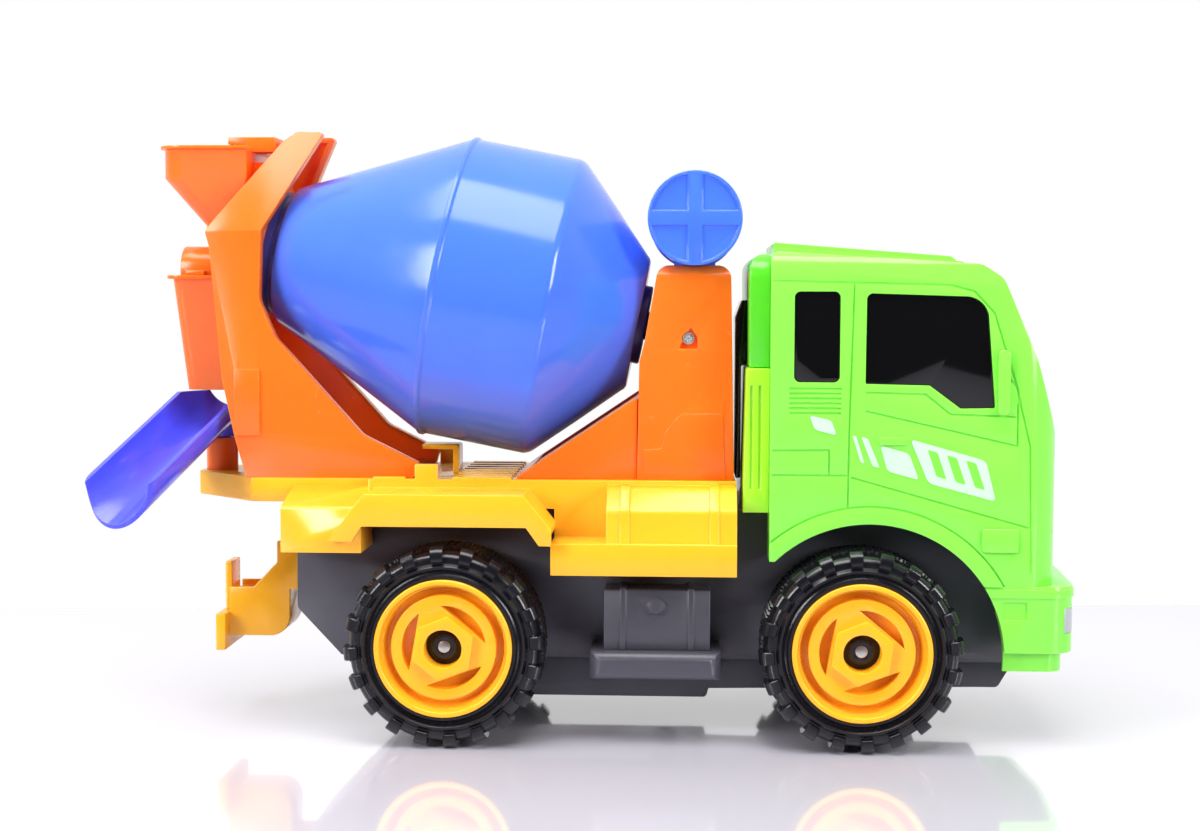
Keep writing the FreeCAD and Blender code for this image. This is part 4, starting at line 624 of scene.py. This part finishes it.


# %% Helper: fill a plastic
# The lighter corner colour given to each plastic is a painted highlight on its edges.
def mix_plastic(slot, colour, deep, worn_highlit_colour, gloss, smudge=0.07, flow=0.3, grain=(900.0, 0.2),
                bump=0.06, glow=0.0, wear_and_highlight_amount=0.35):
    tree = finish[slot].node_tree
    make = node_maker(tree)
    link = tree.links.new
    shader = tree.nodes["Principled BSDF"]
    skin_node = make("ShaderNodeGroup", node_tree=skin)
    skin_node.inputs["Colour"].default_value = (*colour, 1)
    skin_node.inputs["Deep Colour"].default_value = (*deep, 1)
    skin_node.inputs["Flow"].default_value = flow
    skin_node.inputs["Gloss Roughness"].default_value = gloss
    skin_node.inputs["Smudge"].default_value = smudge
    skin_node.inputs["Grain Scale"].default_value = grain[0]
    skin_node.inputs["Grain Height"].default_value = grain[1]
    corner_wear_and_highlight_node = make("ShaderNodeGroup", node_tree=corner_wear_and_highlight)
    corner_wear_and_highlight_node.inputs["Amount"].default_value = wear_and_highlight_amount
    # Corners are mixed towards the lighter colour, a painted highlight; the roughness below dulls them.
    mix = make("ShaderNodeMix", data_type="RGBA")
    link(corner_wear_and_highlight_node.outputs["Mask"], mix.inputs[0])
    link(skin_node.outputs["Colour"], mix.inputs[6])
    mix.inputs[7].default_value = (*worn_highlit_colour, 1)
    link(mix.outputs[2], shader.inputs["Base Color"])
    rough = make("ShaderNodeMath", operation="MULTIPLY_ADD")
    rough.inputs[1].default_value = WORN_DULLNESS
    link(corner_wear_and_highlight_node.outputs["Mask"], rough.inputs[0])
    link(skin_node.outputs["Roughness"], rough.inputs[2])
    link(rough.outputs[0], shader.inputs["Roughness"])
    relief = make("ShaderNodeBump", Strength=bump, Distance=RELIEF_DEPTH)
    link(skin_node.outputs["Height"], relief.inputs["Height"])
    link(relief.outputs["Normal"], shader.inputs["Normal"])
    shader.inputs["IOR"].default_value = PLASTIC_IOR
    if glow:
        shader.inputs["Subsurface Weight"].default_value = glow
        shader.inputs["Subsurface Radius"].default_value = GLOW_COLOURS
        shader.inputs["Subsurface Scale"].default_value = GLOW_DEPTH


print("helper ready: mix_plastic")

# %% Fill the bright plastics
mix_plastic(
    "cab_green", (0.235, 0.8, 0.075), (0.2, 0.75, 0.06), (0.4, 0.92, 0.2), 0.17, flow=0.2,
    glow=0.2,
)
mix_plastic(
    "frame_orange", (1.0, 0.17, 0.012), (0.97, 0.14, 0.01), (1.0, 0.3, 0.06), 0.22,
    flow=0.2, glow=0.5,
)
mix_plastic(
    "deck_yellow", (1.0, 0.47, 0.02), (1.0, 0.41, 0.015), (1.0, 0.62, 0.12), 0.2, flow=0.2,
    glow=0.25,
)
mix_plastic(
    "rim_yellow", (1.0, 0.45, 0.018), (1.0, 0.4, 0.015), (1.0, 0.6, 0.12), 0.18, flow=0.2,
    glow=0.25,
)
mix_plastic(
    "drum_blue", (0.06, 0.17, 0.86), (0.05, 0.13, 0.8), (0.17, 0.33, 0.95), 0.14, glow=0.12,
    flow=0.3,
)
# chute_blue is the drum's blue with its green lowered to violet: painted shade for a chute lit less.
mix_plastic(
    "chute_blue", (0.075, 0.085, 0.8), (0.06, 0.07, 0.72), (0.2, 0.24, 0.92), 0.16,
    glow=0.12, flow=0.3,
)
# collar_blue is the drum's blue darkened to navy, painted shade for the collar and hub in their gaps.
mix_plastic(
    "collar_blue", (0.03, 0.04, 0.22), (0.025, 0.03, 0.17), (0.08, 0.1, 0.34), 0.28,
)
print("bright plastics filled")

# %% Fill the dark plastics and the lamps
mix_plastic(
    "chassis_grey", (0.062, 0.06, 0.08), (0.052, 0.05, 0.066), (0.12, 0.12, 0.14), 0.33,
    smudge=0.1, flow=0.4, grain=(1500.0, 0.8), bump=0.1, wear_and_highlight_amount=0.3,
)
mix_plastic(
    "grille_grey", (0.045, 0.045, 0.05), (0.03, 0.03, 0.035), (0.1, 0.1, 0.11), 0.4,
    grain=(1500.0, 0.8),
)
mix_plastic(
    "tyre_black", (0.006, 0.006, 0.009), (0.004, 0.004, 0.006), (0.02, 0.02, 0.024), 0.2,
    smudge=0.14, grain=(1400.0, 0.6), bump=0.08, wear_and_highlight_amount=0.2,
)
mix_plastic(
    "hub_black", (0.012, 0.011, 0.013), (0.009, 0.008, 0.01), (0.035, 0.035, 0.04), 0.28,
)
mix_plastic(
    "window_black", (0.0025, 0.0025, 0.0032), (0.002, 0.002, 0.0024), (0.01, 0.01, 0.012),
    0.06, smudge=0.04, grain=(400.0, 0.1), bump=0.02, wear_and_highlight_amount=0.1,
)
mix_plastic(
    "lamp_grey", (0.42, 0.44, 0.46), (0.36, 0.37, 0.4), (0.6, 0.62, 0.65), 0.2,
)
print("plastics filled:", len(finish) - 1)

# %% [markdown]
# ## Two more greens: a painted glow and a painted shade
# The locker behind the cab is the cab's green made lighter and yellower, a painted glow that stands
# for light let through its thinner wall, and the cab's rear panel is the same green made deeper, a
# painted shade. Both are still the cab's plastic, so they keep its slot and only wear another mix
# of it.

# %% Mix the locker's lighter green, a painted glow, and the rear panel's deeper green, a painted shade
# Each is a copy of the cab's green: the locker's painted lighter, the panel's painted darker as shade.
for label, node, mixed in (
    ("locker_green_painted_glow", "cab_locker",
     ((0.42, 0.84, 0.04), (0.36, 0.78, 0.03), (0.6, 0.92, 0.2), 0.16)),
    ("panel_green_painted_shade", "cab_back",
     ((0.12, 0.66, 0.03), (0.09, 0.58, 0.02), (0.3, 0.85, 0.14), 0.2)),
):
    finish[label] = bpy.data.materials.new(label)
    finish[label].use_nodes = True
    mix_plastic(label, *mixed, flow=0.3, glow=0.3)
    shells[node].data.materials[0] = finish[label]
    print(node, "wears", label)

# %% [markdown]
# ## Steel axles and screws
# The only metal on the truck is the four axle ends and the screws. Turned steel shows fine rings
# left by the cutting edge, so its roughness and bump follow a stretched noise. Metal has no
# colour of its own under the reflection, so Metallic is one and the colour is the grey of the
# reflection.

# %% Fill the steel
tree = finish["steel"].node_tree
make, link = node_maker(tree), tree.links.new
shader = tree.nodes["Principled BSDF"]
place = make("ShaderNodeTexCoord")
stretch = make("ShaderNodeMapping")
stretch.inputs["Scale"].default_value = (1.0, 18.0, 1.0)
link(place.outputs["Object"], stretch.inputs["Vector"])
rings = make("ShaderNodeTexNoise", Scale=700.0, Detail=4.0)
link(stretch.outputs["Vector"], rings.inputs["Vector"])
ring_rough = make("ShaderNodeMapRange")
ring_rough.inputs["To Min"].default_value = 0.18
ring_rough.inputs["To Max"].default_value = 0.42
link(rings.outputs["Fac"], ring_rough.inputs["Value"])
link(ring_rough.outputs["Result"], shader.inputs["Roughness"])
tarnish = make("ShaderNodeMix", data_type="RGBA")
link(rings.outputs["Fac"], tarnish.inputs[0])
tarnish.inputs[6].default_value = (0.72, 0.72, 0.72, 1)
tarnish.inputs[7].default_value = (0.5, 0.49, 0.48, 1)
link(tarnish.outputs[2], shader.inputs["Base Color"])
relief = make("ShaderNodeBump", Strength=0.15, Distance=0.0002)
link(rings.outputs["Fac"], relief.inputs["Height"])
link(relief.outputs["Normal"], shader.inputs["Normal"])
shader.inputs["Metallic"].default_value = 1.0
print("steel filled")

# %% [markdown]
# ## Printed marks on the doors
# Each door carries a white pad print: a small tab, two slanted strokes, a panel and a large
# badge. A print is a film of ink, so each shape is a thin plate of a few hundredths of a
# millimetre with rounded corners, laid on the door. Painting it with a mask in the cab's material
# would also work, but a plate keeps its edge sharp from any distance. The badge has plain slanted
# stripes and no letters.

# %% Mix the ink
print_white = bpy.data.materials.new("print_white")
print_white.use_nodes = True
finish["print_white"] = print_white
mix_plastic(
    "print_white", (0.52, 0.86, 0.55), (0.46, 0.83, 0.47), (0.5, 0.88, 0.42), 0.28,
    flow=0.5, wear_and_highlight_amount=0.6,
)
print("ink mixed")

# %% Draw the prints, as a corner radius and corners along and above the truck
PRINTS = {
    "tab": [(1.2, (50.4, 108.8), (57.6, 107.2), (59.4, 102.3), (52.2, 104.1))],
    "strokes": [(0.5, (64.4, 102.4), (65.6, 102.2), (68.4, 93.3), (67.1, 93.7)),
                (0.5, (67.2, 101.9), (69.4, 101.4), (73.3, 91.9), (71.0, 92.4))],
    "panel": [(1.2, (73.4, 99.2), (82.7, 96.6), (86.0, 88.0), (75.8, 90.8))],
    "badge": [(1.6, (83.0, 101.3), (107.4, 94.4), (110.8, 81.2), (89.0, 87.0))],
}
STRIPE_R, STRIPE_STEP, STRIPE_DROP, STRIPE_COUNT = 0.6, 6.2, 1.7, 3
STRIPE = ((88.6, 97.9), (91.8, 97.0), (94.8, 88.3), (91.6, 89.2))
STRIPES = [
    (STRIPE_R, *((x + STRIPE_STEP * n, z - STRIPE_DROP * n) for x, z in STRIPE))
    for n in range(STRIPE_COUNT)
]
DOOR_INSET, INK_THICKNESS, STRIPE_LIFT = 0.7, 0.05, 0.05
print("prints drawn:", len(PRINTS), "and", len(STRIPES), "stripes")


# %% Helper: lay a print on a door
def lay_print(name, outlines, side, ink="print_white", lift=0.0):
    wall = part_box("cab_shell")[0].y if side < 0 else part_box("cab_shell")[1].y
    wall -= side * (DOOR_INSET - lift) * MM
    bm = bmesh.new()
    for radius, *corners in outlines:
        ring = [bm.verts.new(((x + shift_x) * MM, wall, z * MM)) for x, z in corners]
        face = bm.faces.new(ring)
        bmesh.ops.bevel(
            bm, geom=face.verts[:], offset=radius * MM, offset_type="OFFSET", segments=4,
            profile=0.5, affect="VERTICES", material=-1,
        )
    plate = bmesh.ops.extrude_face_region(bm, geom=bm.faces[:])
    tops = [v for v in plate["geom"] if isinstance(v, bmesh.types.BMVert)]
    bmesh.ops.translate(bm, vec=(0, side * INK_THICKNESS * MM, 0), verts=tops)
    bmesh.ops.recalc_face_normals(bm, faces=bm.faces)
    mark = hand_over(name, bm, "truck", ink)


print("helper ready: lay_print")

# %% Lay the prints on both doors
for side_name, side in (("right", -1), ("left", 1)):
    for name, outlines in PRINTS.items():
        lay_print(f"print_{name}_{side_name}", outlines, side)
    lay_print(f"print_stripes_{side_name}", STRIPES, side, "cab_green", STRIPE_LIFT)
print("prints laid")

# %% [markdown]
# ## Studio light
# Toys are shown off in a bright tent: light comes from everywhere, a little more from above and
# the left, and the side where the camera stands is darker. The world gives that even wrap, dim
# towards the camera so that black plastic stays black, and three large area lights add the long
# soft highlights. The camera itself sees plain white.

# %% Hang the tent
DARK_SIDE, BRIGHT_SIDE = 0.06, 1.0
world = bpy.data.worlds.new("tent")
bpy.context.scene.world = world
world.use_nodes = True
tree = world.node_tree
make, link = node_maker(tree), tree.links.new
background = tree.nodes["Background"]
direction = make("ShaderNodeTexCoord")
parts = make("ShaderNodeSeparateXYZ")
link(direction.outputs["Generated"], parts.inputs["Vector"])
depth = make("ShaderNodeMapRange")
depth.inputs["From Min"].default_value = -0.75
depth.inputs["From Max"].default_value = 0.35
depth.inputs["To Min"].default_value = DARK_SIDE
depth.inputs["To Max"].default_value = BRIGHT_SIDE
link(parts.outputs["Y"], depth.inputs["Value"])
seen = make("ShaderNodeLightPath")
strength = make("ShaderNodeMix", data_type="FLOAT")
link(seen.outputs["Is Camera Ray"], strength.inputs[0])
link(depth.outputs["Result"], strength.inputs[2])
strength.inputs[3].default_value = 1.0
background.inputs["Color"].default_value = (1.0, 1.0, 1.0, 1)
link(strength.outputs[0], background.inputs["Strength"])
print("tent hung, from", DARK_SIDE, "to", BRIGHT_SIDE)


# %% Set the soft boxes
def soft_box(name, place, aim, size, power):
    data = bpy.data.lights.new(name, "AREA")
    data.shape = "RECTANGLE"
    data.size, data.size_y = size
    data.energy = power
    lamp = bpy.data.objects.new(name, data)
    bpy.context.scene.collection.objects.link(lamp)
    lamp.location = place
    lamp.rotation_euler = (Vector(aim) - Vector(place)).to_track_quat("-Z", "Y").to_euler()


soft_box("top_box", (-0.1, -0.25, 0.9), (0, 0, 0.08), (0.9, 0.5), 9.8)
soft_box("left_box", (-0.75, -0.75, 0.5), (0, 0, 0.1), (0.35, 0.5), 8.6)
soft_box("right_box", (0.85, -0.7, 0.45), (0.05, 0, 0.1), (0.3, 0.5), 7.4)
print("tent lit")

# %% [markdown]
# ## The polished table
# The table is pale lilac-white acrylic. It mirrors the toy more strongly at a flat angle, which
# is what the coat of a Principled shader does by itself, and its polish is broken by faint wiping
# marks.

# %% Finish the table
tree = table_finish.node_tree
make, link = node_maker(tree), tree.links.new
shader = tree.nodes["Principled BSDF"]
place = make("ShaderNodeTexCoord")
wipes = make("ShaderNodeTexNoise", Scale=6.0, Detail=6.0, Roughness=0.6, Distortion=1.5)
link(place.outputs["Object"], wipes.inputs["Vector"])
wipe_range = make("ShaderNodeMapRange")
wipe_range.inputs["To Min"].default_value = 0.05
wipe_range.inputs["To Max"].default_value = 0.16
link(wipes.outputs["Fac"], wipe_range.inputs["Value"])
link(wipe_range.outputs["Result"], shader.inputs["Roughness"])
shade = make("ShaderNodeMix", data_type="RGBA")
link(wipes.outputs["Fac"], shade.inputs[0])
shade.inputs[6].default_value = (0.65, 0.625, 0.7, 1)
shade.inputs[7].default_value = (0.62, 0.6, 0.675, 1)
link(shade.outputs[2], shader.inputs["Base Color"])
shader.inputs["Coat Weight"].default_value = 1.0
shader.inputs["Coat Roughness"].default_value = 0.03
print("table finished")

# %% [markdown]
# ## The camera
# The truck is seen from its right side, a little from above, through a normal lens from about
# sixty centimetres. The lens sets how strongly near parts grow, so it is matched first, then the
# height and the turn.

# %% Set the camera
SENSOR_MM, LENS_MM = 36.0, 54.069
CAMERA_X, CAMERA_AWAY, CAMERA_Z = 9.5, 632.7, 145.1
PAN, TILT_DOWN, ROLL = 2.63, 3.6, 0.21
lens_data = bpy.data.cameras.new("camera")
lens_data.sensor_width = SENSOR_MM
lens_data.lens = LENS_MM
camera = bpy.data.objects.new("camera", lens_data)
bpy.context.scene.collection.objects.link(camera)
camera.location = ((CAMERA_X + shift_x) * MM, middle_y - CAMERA_AWAY * MM, CAMERA_Z * MM)
pan = Matrix.Rotation(math.radians(PAN), 4, "Z")
tilt = Matrix.Rotation(math.radians(90 - TILT_DOWN), 4, "X")
roll = Matrix.Rotation(math.radians(ROLL), 4, "Z")
camera.rotation_euler = (pan @ tilt @ roll).to_euler()
bpy.context.scene.camera = camera
bpy.context.scene.view_settings.view_transform = "Standard"
bpy.context.scene.view_settings.look = "None"
print("camera at", tuple(round(v, 4) for v in camera.location))
